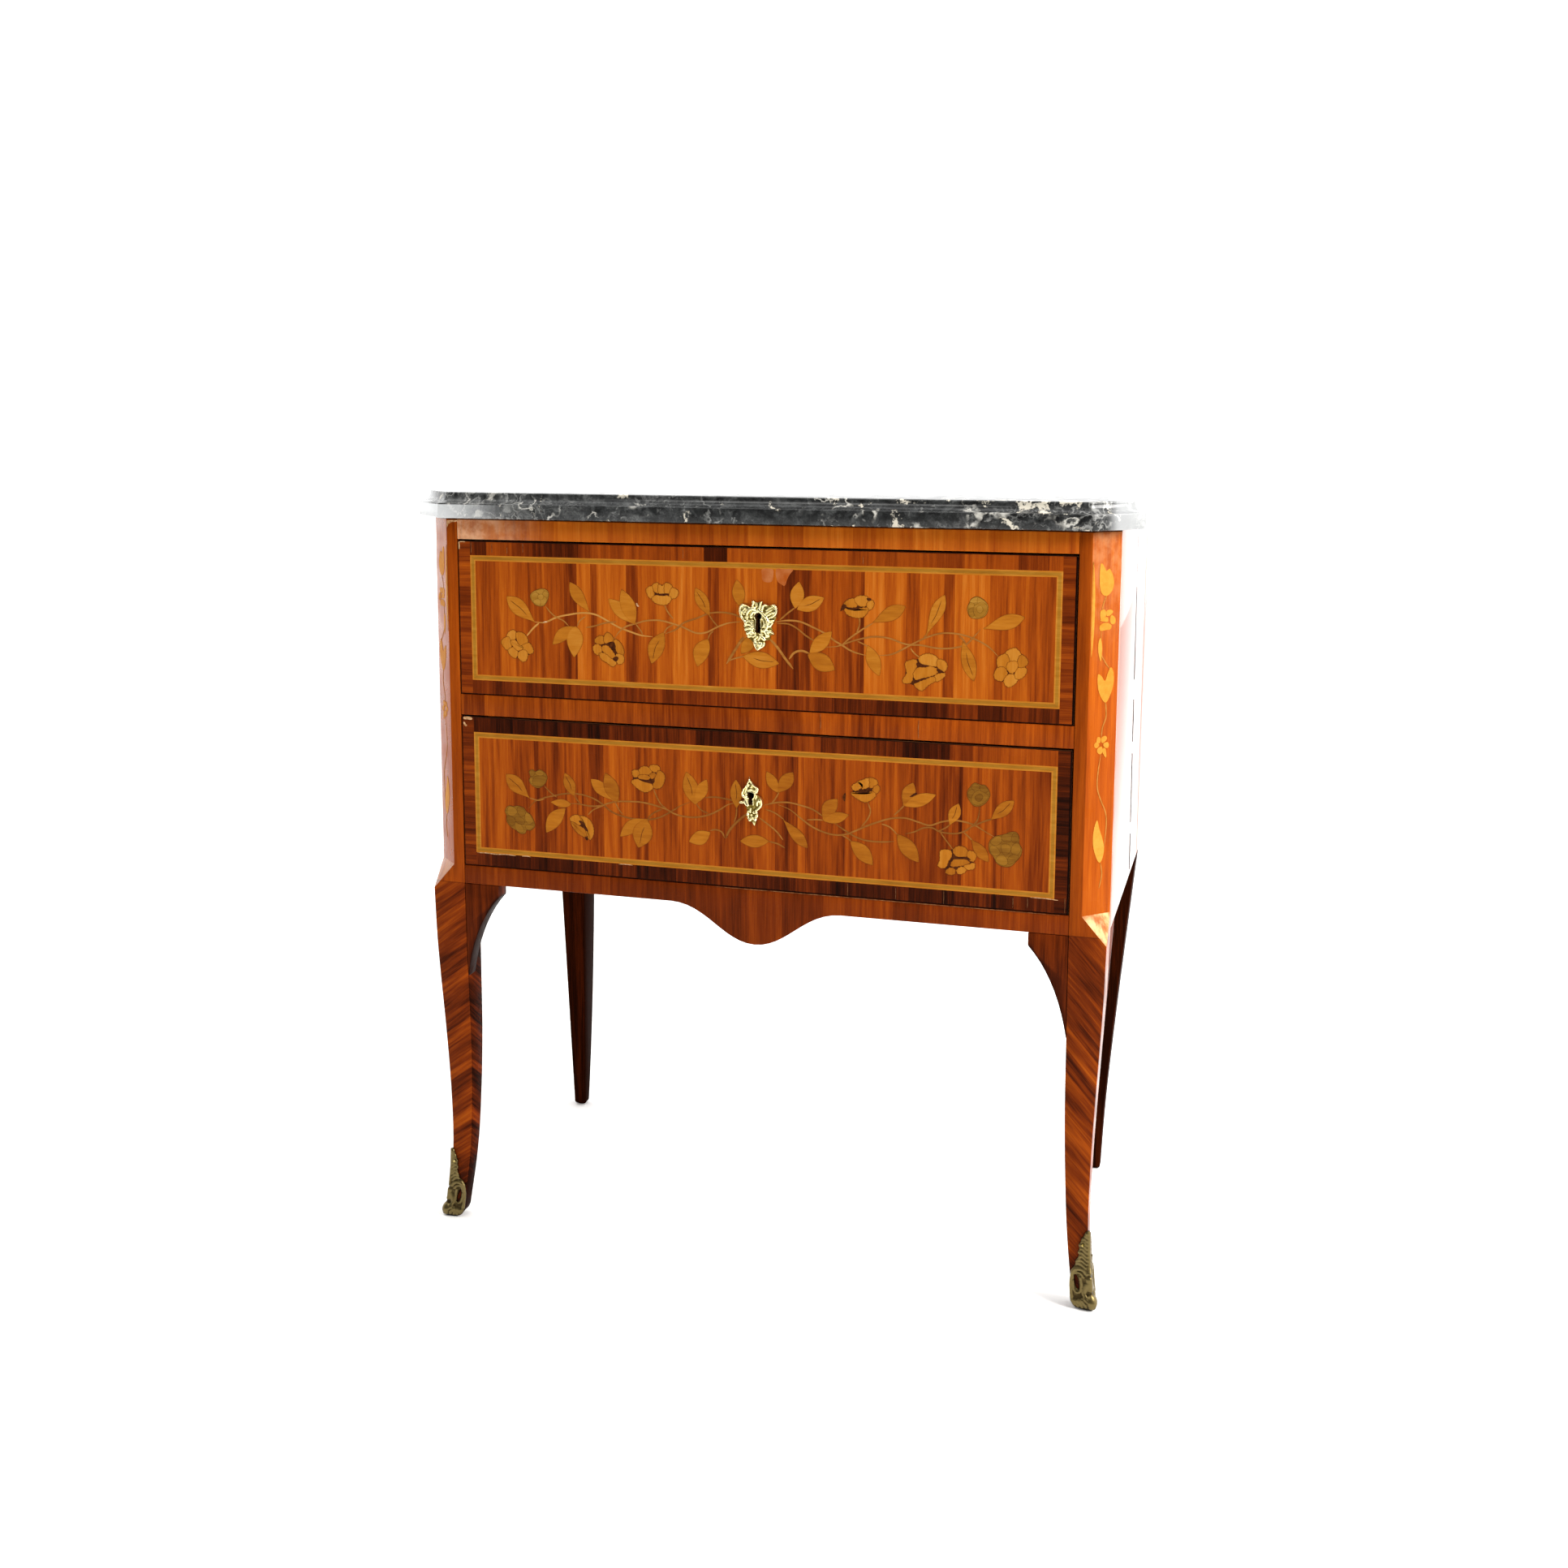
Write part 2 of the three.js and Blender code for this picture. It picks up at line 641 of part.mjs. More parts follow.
function buildRunners() {
  const behindApron = frontY + apronThickness + seatGap;
  const behindRail = frontY + frontRailDepth + seatGap;
  const behindPost = frontPostBackY + seatGap;
  const beforeRearPost = rearPostFrontY - seatGap;
  const guideOuterX = halfWidth - sidePanelThickness - seatGap;
  const levels = [
    { name: 'lower', top: apronTop, height: apronHeight, frontEnd: behindApron },
    { name: 'upper', top: apronTop + openingPitch, height: dividerHeight, frontEnd: behindRail },
  ];
  for (const { name, top, height, frontEnd } of levels) {
    const bottom = top - height;
    const shoulderFront = Math.max(frontEnd, behindPost);
    const runner = uniteAll([
      block([runnerInnerX, frontEnd, bottom], [railHalfLength, insideBackY, top]),
      block([runnerInnerX, shoulderFront, bottom], [guideOuterX, beforeRearPost, top]),
      block([postInnerX, behindPost, bottom], [guideOuterX, beforeRearPost, top + guideRise]),
    ]);
    addPair(chest, `${name}_left_runner`, `${name}_right_runner`, runner, 'oak');
  }
  const kicker = block(
    [runnerInnerX, behindRail, carcassTop - topRailHeight],
    [railHalfLength, insideBackY, carcassTop],
  );
  addPair(chest, 'top_left_kicker', 'top_right_kicker', kicker, 'oak');
}

function buildBoards() {
  const halfBoard = runnerInnerX - seatGap;
  const behindRail = frontY + frontRailDepth + seatGap;
  const board = (front, bottom, thickness) => block(
    [-halfBoard, front, bottom],
    [halfBoard, insideBackY, bottom + thickness],
  );
  const dustZ = apronTop + openingHeight + (dividerHeight - dustBoardThickness) / 2;
  const bottomFront = frontY + apronThickness + seatGap;
  addMesh(chest, 'dust_board', board(behindRail, dustZ, dustBoardThickness), 'oak');
  const bottomBoard = board(bottomFront, legHeight + bottomBoardRise, bottomBoardThickness);
  addMesh(chest, 'bottom_board', bottomBoard, 'oak');
  const brace = block(
    [-braceWidth / 2, behindRail, carcassTop - braceHeight],
    [braceWidth / 2, insideBackY, carcassTop],
  );
  addMesh(chest, 'top_centre_brace', brace, 'oak');
}

// An L-shaped shell round the foot's outer corner; its metal stands out from the wooden leg's own curve
// The height, reach and metal of a sabot at a share of its height, for the side that it is made for
function sabotSection(side, heightShare) {
  const z = sabotHeight[side] * heightShare;
  const leafShare = heightShare < sabotLeafRiseShare ? 1 : sabotLeafWidthShare[side];
  const reach = legWidth(z) * sabotReachShare(heightShare) * leafShare;
  const toe = sabotMetal * sabotToeShare(heightShare);
  const end = sabotMetal * sabotEndShare(heightShare);
  return { z, reach, toe, end };
}

function sabotBody(side) {
  const rings = sabotShares.map(([heightShare]) => {
    const { z, reach, toe, end } = sabotSection(side, heightShare);
    const wood = outerSetback(z) - seatGap;
    const [x, y] = [halfWidth - wood, frontY + wood];
    return [
      [x - reach, y, z], [x - reach, y - end, z], [x + toe, y - toe, z],
      [x + end, y + reach, z], [x, y + reach, z], [x, y, z],
    ];
  });
  const z = sabotHeight[side] * sabotWindowRiseShare[side];
  const wood = outerSetback(z);
  const reach = legWidth(z) * sabotWindowReachShare[side];
  const squeeze = sabotWindowWidth / sabotWindowHeight;
  const depth = 2 * sabotMetal + cutOverrun;
  const frontWindow = rodAlongY(sabotWindowHeight / 2, 0, 0, -depth, depth, sabotWindowSides);
  frontWindow.scale(squeeze, 1, 1).translate(halfWidth - wood - reach, frontY + wood, z);
  const sideWindow = onTheSideArm(frontWindow);
  const holes = [sabotPin(side, 'front', seatGap), sabotPin(side, 'side', seatGap)];
  return subtractAll(loft(rings), [frontWindow, sideWindow, ...holes]);
}

// A shape on the front arm of a sabot, turned over on to its side arm
function onTheSideArm(geometry) {
  const corner = halfWidth + frontY;
  return mirrored(geometry).rotateZ(Math.PI / 2).translate(corner, corner, 0);
}

function buildSabots() {
  for (const side of ['left', 'right']) {
    addMesh(chest, `${side}_sabot`, onItsSide(side, sabotBody(side)), 'brass');
    for (const arm of ['front', 'side']) {
      addMesh(chest, `${side}_sabot_${arm}_pin`, onItsSide(side, sabotPin(side, arm, 0)), 'brass');
    }
  }
}

// The pin in one arm of a sabot; with a spread it is the pin's hole, which is open to the outside
function sabotPin(side, arm, spread) {
  const { z, reach, toe } = sabotSection(side, sabotPinRiseShare[arm]);
  const wood = outerSetback(z);
  const x = halfWidth - wood - reach * sabotPinReachShare;
  const headBack = frontY + wood - toe - 2 * seatGap;
  const headFront = headBack - pinHeadHeight;
  const shankFront = spread > 0 ? headFront - cutOverrun : (headFront + headBack) / 2;
  const shankBack = frontY + wood + sabotPinLength + spread;
  let pin = rodAlongY(pinRadius + spread, x, z, shankFront, shankBack, pinSides);
  if (spread === 0) {
    pin = uniteAll([pin, rodAlongY(pinHeadRadius, x, z, headFront, headBack, pinSides)]);
  }
  return arm === 'front' ? pin : onTheSideArm(pin);
}

// A keyhole-shaped prism: a round with a slot below it, both wider by the spread
function keyholePrism(plate, keyZ, frontFace, backFace, spread) {
  const radius = plate.keyRadius + spread;
  const half = plate.keySlotWidth / 2 + spread;
  const meet = Math.asin(half / radius);
  const slotZ = keyZ - plate.keySlotDrop - spread;
  const outline = [[plate.offset + half, slotZ]];
  for (let step = 0; step <= roundSides; step += 1) {
    const angle = meet - Math.PI / 2 + (2 * (Math.PI - meet) * step) / roundSides;
    outline.push([plate.offset + radius * Math.cos(angle), keyZ + radius * Math.sin(angle)]);
  }
  outline.push([plate.offset - half, slotZ]);
  return prismAlongY(outline, frontFace, backFace);
}

// A screw on each side of the lock, half way up
function lockScrewPlaces(plate, lockTopZ) {
  const reach = lockWidth / 2 - lockScrewInset;
  const z = lockTopZ - lockHeight / 2;
  return { left: [plate.offset - reach, z], right: [plate.offset + reach, z] };
}

// A point given in shares of the escutcheon's width and height
function onPlate(plate, keyZ, [x, z]) {
  return [plate.offset + x * plate.width, keyZ + z * plate.height];
}

// Tails on the front end of a drawer side, seen from the side: narrow at the root and wider at the tip
function dovetails(spread) {
  const pitch = (drawerSideTopZ - seatGap - 2 * dovetailEdge) / dovetailCount;
  const root = drawerInsideY + spread;
  const tip = frontY + frontThickness - dovetailLength - spread;
  const half = (pitch * dovetailRootShare) / 2 + spread;
  const wide = half + dovetailLength * dovetailFlareShare;
  const outside = spread > 0 ? drawerHalfWidth + cutOverrun : drawerHalfWidth;
  const tails = [];
  for (let i = 0; i < dovetailCount; i += 1) {
    const middle = seatGap + dovetailEdge + pitch * i + pitch / 2;
    const [low, high] = [middle - half, middle + half];
    const outline = [[tip, middle - wide], [root, low], [root, high], [tip, middle + wide]];
    tails.push(prismAlongX(outline, drawerSideInnerX - spread, outside));
  }
  return tails;
}

function buildDrawer(name, plate, openingBottom) {
  const drawer = new THREE.Group();
  drawer.position.z = openingBottom;
  chest.add(drawer);
  const keyZ = drawerFrontTopZ - plate.drop;
  const lockTopZ = drawerFrontTopZ - lockTopSetback;
  const halfLock = lockWidth / 2;
  const bottomFrontY = drawerInsideY - seatGap - drawerGrooveDepth;
  const bottomHalf = drawerSideInnerX + drawerGrooveDepth;

  const grooveCutter = block(
    [-bottomHalf - seatGap, bottomFrontY - seatGap, drawerBottomZ - seatGap],
    [bottomHalf + seatGap, drawerBackY + cutOverrun, drawerBottomTopZ + seatGap],
  );
  const frontCutters = [
    keyholePrism(plate, keyZ, frontY - cutOverrun, lockFrontY + cutOverrun, 0),
    block(
      [plate.offset - halfLock - seatGap, lockFrontY - seatGap, lockTopZ - lockHeight - seatGap],
      [plate.offset + halfLock + seatGap, lockBackY + cutOverrun, drawerFrontTopZ + cutOverrun],
    ),
    grooveCutter,
  ];
  for (const tail of dovetails(seatGap)) {
    frontCutters.push(tail, mirrored(tail));
  }
  for (const place of Object.values(plate.pinShares)) {
    const [x, z] = onPlate(plate, keyZ, place);
    const holeEnd = frontY + pinLength;
    frontCutters.push(rodAlongY(pinRadius + seatGap, x, z, frontY - cutOverrun, holeEnd, pinSides));
  }
  for (const [x, z] of Object.values(lockScrewPlaces(plate, lockTopZ))) {
    const tipY = lockFrontY - lockScrewLength - seatGap;
    frontCutters.push(rodAlongY(lockScrewRadius + seatGap, x, z, tipY, lockBackY, pinSides));
  }
  const board = block(
    [-drawerHalfWidth, frontY, frontBottomGap],
    [drawerHalfWidth, frontY + frontThickness, drawerFrontTopZ],
  );
  addMesh(drawer, `${name}_drawer_front`, subtractAll(board, frontCutters), 'veneer');

  const side = block(
    [drawerSideInnerX, drawerInsideY, seatGap],
    [drawerHalfWidth, drawerBackY, drawerSideTopZ],
  );
  const tailed = toSolid(uniteAll([side, ...dovetails(0)])).subtract(toSolid(grooveCutter));
  addPair(drawer, `${name}_drawer_left_side`, `${name}_drawer_right_side`, toGeometry(tailed), 'oak');

  const backHalf = drawerSideInnerX - seatGap;
  const back = block(
    [-backHalf, drawerBackY - drawerBackThickness, drawerBottomTopZ + seatGap],
    [backHalf, drawerBackY, drawerSideTopZ - drawerBackDrop],
  );
  addMesh(drawer, `${name}_drawer_back`, back, 'oak');
  const bottom = block(
    [-bottomHalf, bottomFrontY, drawerBottomZ],
    [bottomHalf, drawerBackY, drawerBottomTopZ],
  );
  addMesh(drawer, `${name}_drawer_bottom`, bottom, 'oak');

  buildEscutcheon(drawer, name, plate, keyZ);
  buildLock(drawer, name, plate, keyZ, lockTopZ);
}

function buildEscutcheon(drawer, name, plate, keyZ) {
  const backFace = frontY - seatGap;
  const frontFace = backFace - plateThickness;
  const outline = plate.outlineShares.map((point) => onPlate(plate, keyZ, point));
  const base = prismAlongY(outline, frontFace, backFace);
  const collarWall = plate.width * collarWallShare;
  const collar = keyholePrism(plate, keyZ, frontFace - collarRise, backFace, collarWall);
  const [cutFront, cutBack] = [frontFace - collarRise - cutOverrun, backFace + cutOverrun];
  const cutters = [keyholePrism(plate, keyZ, cutFront, cutBack, 0)];
  const headBack = frontFace - seatGap;
  const headFront = headBack - pinHeadHeight;
  for (const [place, share] of Object.entries(plate.pinShares)) {
    const [x, z] = onPlate(plate, keyZ, share);
    cutters.push(rodAlongY(pinRadius + seatGap, x, z, cutFront, cutBack, pinSides));
    const pin = uniteAll([
      rodAlongY(pinRadius, x, z, (headFront + headBack) / 2, frontY + pinLength - seatGap, pinSides),
      rodAlongY(pinHeadRadius, x, z, headFront, headBack, pinSides),
    ]);
    addMesh(drawer, `${name}_escutcheon_${place}_pin`, pin, 'brass');
  }
  addMesh(drawer, `${name}_escutcheon`, subtractAll(uniteAll([base, collar]), cutters), 'brass');
}

function buildLock(drawer, name, plate, keyZ, lockTopZ) {
  const [low, high] = [plate.offset - lockWidth / 2, plate.offset + lockWidth / 2];
  const lockBottomZ = lockTopZ - lockHeight;
  const wallBackY = lockBackY - lockPlate;
  const wallFrontY = lockCapBackY + seatGap;
  const boltHalf = boltWidth / 2;
  const shankRadius = lockScrewRadius + seatGap;
  const screwPlaces = Object.entries(lockScrewPlaces(plate, lockTopZ));

  const shell = block([low, wallFrontY, lockBottomZ], [high, lockBackY, lockTopZ]);
  const cavity = block(
    [low + lockPlate, wallFrontY - cutOverrun, lockBottomZ + lockPlate],
    [high - lockPlate, wallBackY, lockTopZ - lockPlate],
  );
  const slot = block(
    [plate.offset - boltHalf - boltGap, boltFrontY - boltGap, lockTopZ - lockPlate - cutOverrun],
    [plate.offset + boltHalf + boltGap, boltBackY + boltGap, lockTopZ + cutOverrun],
  );
  // Rooted in the back plate: the pin for the key, a ledge under each prong of the bolt and the screw bosses
  const rootY = lockBackY - lockPlate / 2;
  const ledgeZ = lockTopZ - boltLength - boltGap;
  const prongMiddle = boltHalf - boltProng / 2;
  const inner = [rodAlongY(keyPinRadius, plate.offset, keyZ, wallFrontY, rootY, pinSides)];
  for (const x of [plate.offset - prongMiddle, plate.offset + prongMiddle]) {
    inner.push(block(
      [x - boltProng, wallFrontY, ledgeZ - lockPlate],
      [x + boltProng, rootY, ledgeZ],
    ));
  }
  for (const [, [x, z]] of screwPlaces) {
    inner.push(rodAlongY(shankRadius + lockScrewWall, x, z, wallFrontY, rootY, pinSides));
  }
  const shanks = screwPlaces.map(([, [x, z]]) => (
    rodAlongY(shankRadius, x, z, lockFrontY - cutOverrun, lockBackY + cutOverrun, pinSides)
  ));
  const hollow = subtractAll(shell, [cavity, slot]);
  addMesh(drawer, `${name}_lock_case`, subtractAll(uniteAll([hollow, ...inner]), shanks), 'iron');

  const cap = block([low, lockFrontY, lockBottomZ], [high, lockCapBackY, lockTopZ]);
  const capHole = keyholePrism(plate, keyZ, lockFrontY - cutOverrun, lockCapBackY + cutOverrun, 0);
  addMesh(drawer, `${name}_lock_cap`, subtractAll(cap, [capHole, ...shanks]), 'iron');

  const headFront = lockBackY + seatGap;
  const headBack = headFront + lockScrewHeadHeight;
  for (const [side, [x, z]] of screwPlaces) {
    const screw = uniteAll([
      rodAlongY(lockScrewRadius, x, z, lockFrontY - lockScrewLength, (headFront + headBack) / 2, pinSides),
      rodAlongY(lockScrewHeadRadius, x, z, headFront, headBack, pinSides),
    ]);
    addMesh(drawer, `${name}_lock_${side}_screw`, screw, 'iron');
  }

  // The bolt is a flat bar whose forked tail straddles the key pin
  const tailZ = lockTopZ - boltLength;
  const bar = block(
    [plate.offset - boltHalf, boltFrontY, tailZ],
    [plate.offset + boltHalf, boltBackY, lockTopZ],
  );
  const forkHalf = boltHalf - boltProng;
  const fork = block(
    [plate.offset - forkHalf, boltFrontY - cutOverrun, tailZ - cutOverrun],
    [plate.offset + forkHalf, boltBackY + cutOverrun, Math.max(keyZ, tailZ) + boltThrow + keyPinRadius],
  );
  addMesh(drawer, `${name}_lock_bolt`, subtractAll(bar, [fork]), 'iron');
}

buildMarble();
buildFrontPosts();
buildRearPosts();
buildSidePanels();
buildFrontRails();
buildKneeBlocks();
buildRearFrame();
buildRunners();
buildBoards();
buildSabots();
buildDrawer('lower', lowerPlate, apronTop);
buildDrawer('upper', upperPlate, apronTop + openingPitch);

export default chest;
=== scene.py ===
"""Commode chest: two marquetry drawers under a marble top, on cabriole front legs with brass feet.

Lengths in the tables are in millimetres and the scene is in metres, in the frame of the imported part:
X to the right, Y to the back, Z up, floor at Z = 0.
"""
import json
import math
import random

import bmesh
import bpy
import numpy as np
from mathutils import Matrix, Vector
from mathutils.geometry import convex_hull_2d, delaunay_2d_cdt

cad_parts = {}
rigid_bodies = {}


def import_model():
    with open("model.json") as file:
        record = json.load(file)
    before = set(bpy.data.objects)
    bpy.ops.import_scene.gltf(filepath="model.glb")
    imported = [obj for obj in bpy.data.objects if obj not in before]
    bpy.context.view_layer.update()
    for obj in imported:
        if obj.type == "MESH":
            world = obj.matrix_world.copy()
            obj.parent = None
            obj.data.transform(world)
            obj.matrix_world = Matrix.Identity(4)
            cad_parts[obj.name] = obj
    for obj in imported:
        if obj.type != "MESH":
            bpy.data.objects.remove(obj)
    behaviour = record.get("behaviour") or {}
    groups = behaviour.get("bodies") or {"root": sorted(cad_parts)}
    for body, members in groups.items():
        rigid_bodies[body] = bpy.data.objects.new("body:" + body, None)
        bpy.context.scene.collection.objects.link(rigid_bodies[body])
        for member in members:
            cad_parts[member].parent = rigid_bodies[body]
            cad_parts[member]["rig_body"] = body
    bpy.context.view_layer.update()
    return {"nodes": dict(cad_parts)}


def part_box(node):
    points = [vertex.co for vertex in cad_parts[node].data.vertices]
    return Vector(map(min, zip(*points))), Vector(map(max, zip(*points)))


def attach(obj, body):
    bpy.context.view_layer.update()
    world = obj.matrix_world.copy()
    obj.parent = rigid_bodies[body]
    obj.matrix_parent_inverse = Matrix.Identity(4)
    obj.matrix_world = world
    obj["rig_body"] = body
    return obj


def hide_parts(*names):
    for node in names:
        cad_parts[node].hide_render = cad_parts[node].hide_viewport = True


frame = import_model()

MM = 0.001
SEED = 1765
LEVELS = ("upper", "lower")
SIDES = ("left", "right")

# The carcass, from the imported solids
FRONT_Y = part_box("front_right_post_leg")[0].y
HALF_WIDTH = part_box("front_right_post_leg")[1].x
APRON_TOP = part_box("apron_rail")[1].z
DIVIDER = [corner.z * 1000 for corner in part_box("divider_rail")]
POST_STOCK = 38.6
CANT = 26.0
LEG_HEIGHT = 406.5

# How far each layer of the veneer work stands proud of the drawer front or post, in metres
LAYER = {
    "ground": 0.00010, "stringing": 0.00014, "saw_cut": 0.00016, "stem": 0.00023, "inlay": 0.00030, "vein": 0.00040,
}
# Each plate of a layer lies a step above the one before, and its rim goes down to the foot
LAYER_STEP = 0.0000016
LAYER_FOOT = -0.0003
PETAL_LIFT = 0.000045


# ---- tables: outlines and lines are texts with the first point as X,Z and then the step from each point to the next

def walk(text):
    """The points of one outline or line. Words without a comma are no points."""
    x = z = 0.0
    points = []
    for word in text.split():
        if "," in word:
            step_x, step_z = word.split(",")
            x, z = round(x + float(step_x), 3), round(z + float(step_z), 3)
            points.append((x, z))
    return points


def outlines(text):
    return [walk(part) for part in text.split(";")]


def flowers(text):
    return [outlines(part) for part in text.split("/")]


def lines(text):
    """Rows that start with one or more numbers, such as a width, and end with the points of a line."""
    return [(*(float(word) for word in part.split() if "," not in word), walk(part)) for part in text.split(";")]


# Drawer fronts: lowest and highest Z of the stringing's outer edge, keyhole X and Z, and the veneer's tones.
# A tone row says how dark or bright the strips are from that X on, from 0 to 1.
# The keyhole is a round over a slot that ends slot_drop below the round's middle. Border marks are stretches of
# the top border with a tone of their own: from X, to X, tone.
DRAWERS = {
    "upper": {
        "string_low": 641.3, "string_high": 780.6, "key_x": 8.0, "key_z": 724.3,
        "key_radius": 3.5, "slot_width": 5.6, "neck_width": 3.6, "slot_drop": 17.5,
        "tones": [
            (-318, .47), (-290, .6), (-271, .5), (-240, .48), (-213, .33), (-198, .68), (-182, .47), (-175, .64),
            (-141, .35), (-127, .5), (-106, .58), (-87, .7), (-66, .62), (-48, .4), (-36, .55), (-17, .67),
            (8, .62), (28, .34), (38, .25), (52, .33), (66, .47), (95, .46), (118, .34), (122, .72), (143, .64),
            (166, .47), (180, .63), (205, .42), (216, .73), (232, .67), (252, .5), (271, .56), (291, .47),
        ],
        "border": {"top": .44, "bottom": .26, "left": .4, "right": .34},
        "border_marks": [(-338, -300, .16), (-240, -206, .16), (-54, -24, .1)],
    },
    "lower": {
        "string_low": 444.0, "string_high": 582.2, "key_x": 0.0, "key_z": 531.2,
        "key_radius": 3.6, "slot_width": 4.4, "neck_width": 3.4, "slot_drop": 10.4,
        "tones": [
            (-318, .5), (-300, .57), (-283, .45), (-262, .44), (-252, .32), (-243, .4), (-231, .37), (-213, .54),
            (-195, .43), (-184, .37), (-169, .59), (-151, .54), (-132, .4), (-117, .5), (-92, .45), (-80, .54),
            (-62, .49), (-38, .39), (-15, .43), (5, .49), (27, .37), (52, .57), (60, .43), (82, .41), (104, .47),
            (133, .5), (160, .45), (178, .41), (199, .38), (224, .3), (228, .5), (258, .41), (275, .43),
            (290, .45), (299, .37),
        ],
        "border": {"top": .28, "bottom": .18, "left": .3, "right": .14},
        "border_marks": [(-338, -172, .07), (-172, -60, .2), (-60, 20, .1), (170, 217, .03), (240, 338, .4)],
    },
}
FRONT_HALF_WIDTH = 338.3
STRING_HALF_WIDTH = 324.3
# Widths of the stringing's pale, green and pale lines
STRING_LINES = [1.5, 3.2, 1.5]

# Leaves: greatest width, sideways bend, share of the length where it is widest, then base and tip
LEAVES = {
    "upper": lines("""
        18 0 .6 -248,709 -33,27; 14 1 .6 -183,722 -23,32; 14 -2.4 .5 -199,705 -28,-20; 19 0 .42 -200,706 -2,-34; 15 0
        .55 -130,711 -31,26; 17 0 .5 -131,711 -15,37; 18 -2 .5 -98,703 -14,-34; 14 0 .55 -46,723 -16,29; 17.5 -2 .48
        -48,698 -12,-30; 14 0 .5 -12,734 -4,28; 13 0 .5 4,704 -15,-20; 17.5 0 .5 -9,681 39.5,-6; 15 0 .5 48,734 4,28;
        16 0 .5 50,733 29,13; 15 0 .5 64,687 23.5,24; 19 0 .5 62,686 29,-15; 15 0 .6 131,722 34,18; 14.5 0 .5 126,698
        12.5,-31; 13.5 0 .64 187,711 18.5,42; 15.5 0 .6 246,720 41,13; 14.5 0 .55 225,706 12,-40
    """),
    "lower": lines("""
        18 0 .6 -258,511 -28,25; 13.5 0 .5 -204,517 -11,25; 9.5 0 .45 -208,507 -24,1; 16.5 -2 .5 -215,502 -23,-29; 14
        0 .6 -156,514 -28,23; 17 0 .5 -153,513 -14,32; 14.5 -2 .5 -120,496 -30,-21; 23 0 .5 -119,497 -10,-33; 17.5 0
        .5 -63,517 -10,35; 13.5 0 .55 -63,517 13,28; 13.5 0 .52 -16,516 -1,31; 15.5 1 .5 -46,487 -24,-12; 14 0 .5
        20,482 -32,-2; 12 0 .5 30,536 -12.5,22; 15 0 .55 30,536 16.5,23; 13 0 .6 36,507 27,-29; 15.5 2 .55 80,509
        15,24.5; 12 0 .5 80,509 27.5,8; 16.5 1 .5 110,489 24,-24; 14 0 .55 166,531 10,25; 13 0 .5 167,531 33,14; 17 0
        .5 160,500 23,-28; 12.5 0 .55 215,514 9,23; 13.5 0 .55 258,523 23,21; 12 0 .55 238,500 18,-22
    """),
}
VEINED_LEAVES = {"upper": (0, 6, 7, 11, 13, 18, 20), "lower": (0, 1, 7, 8, 10, 22, 23)}
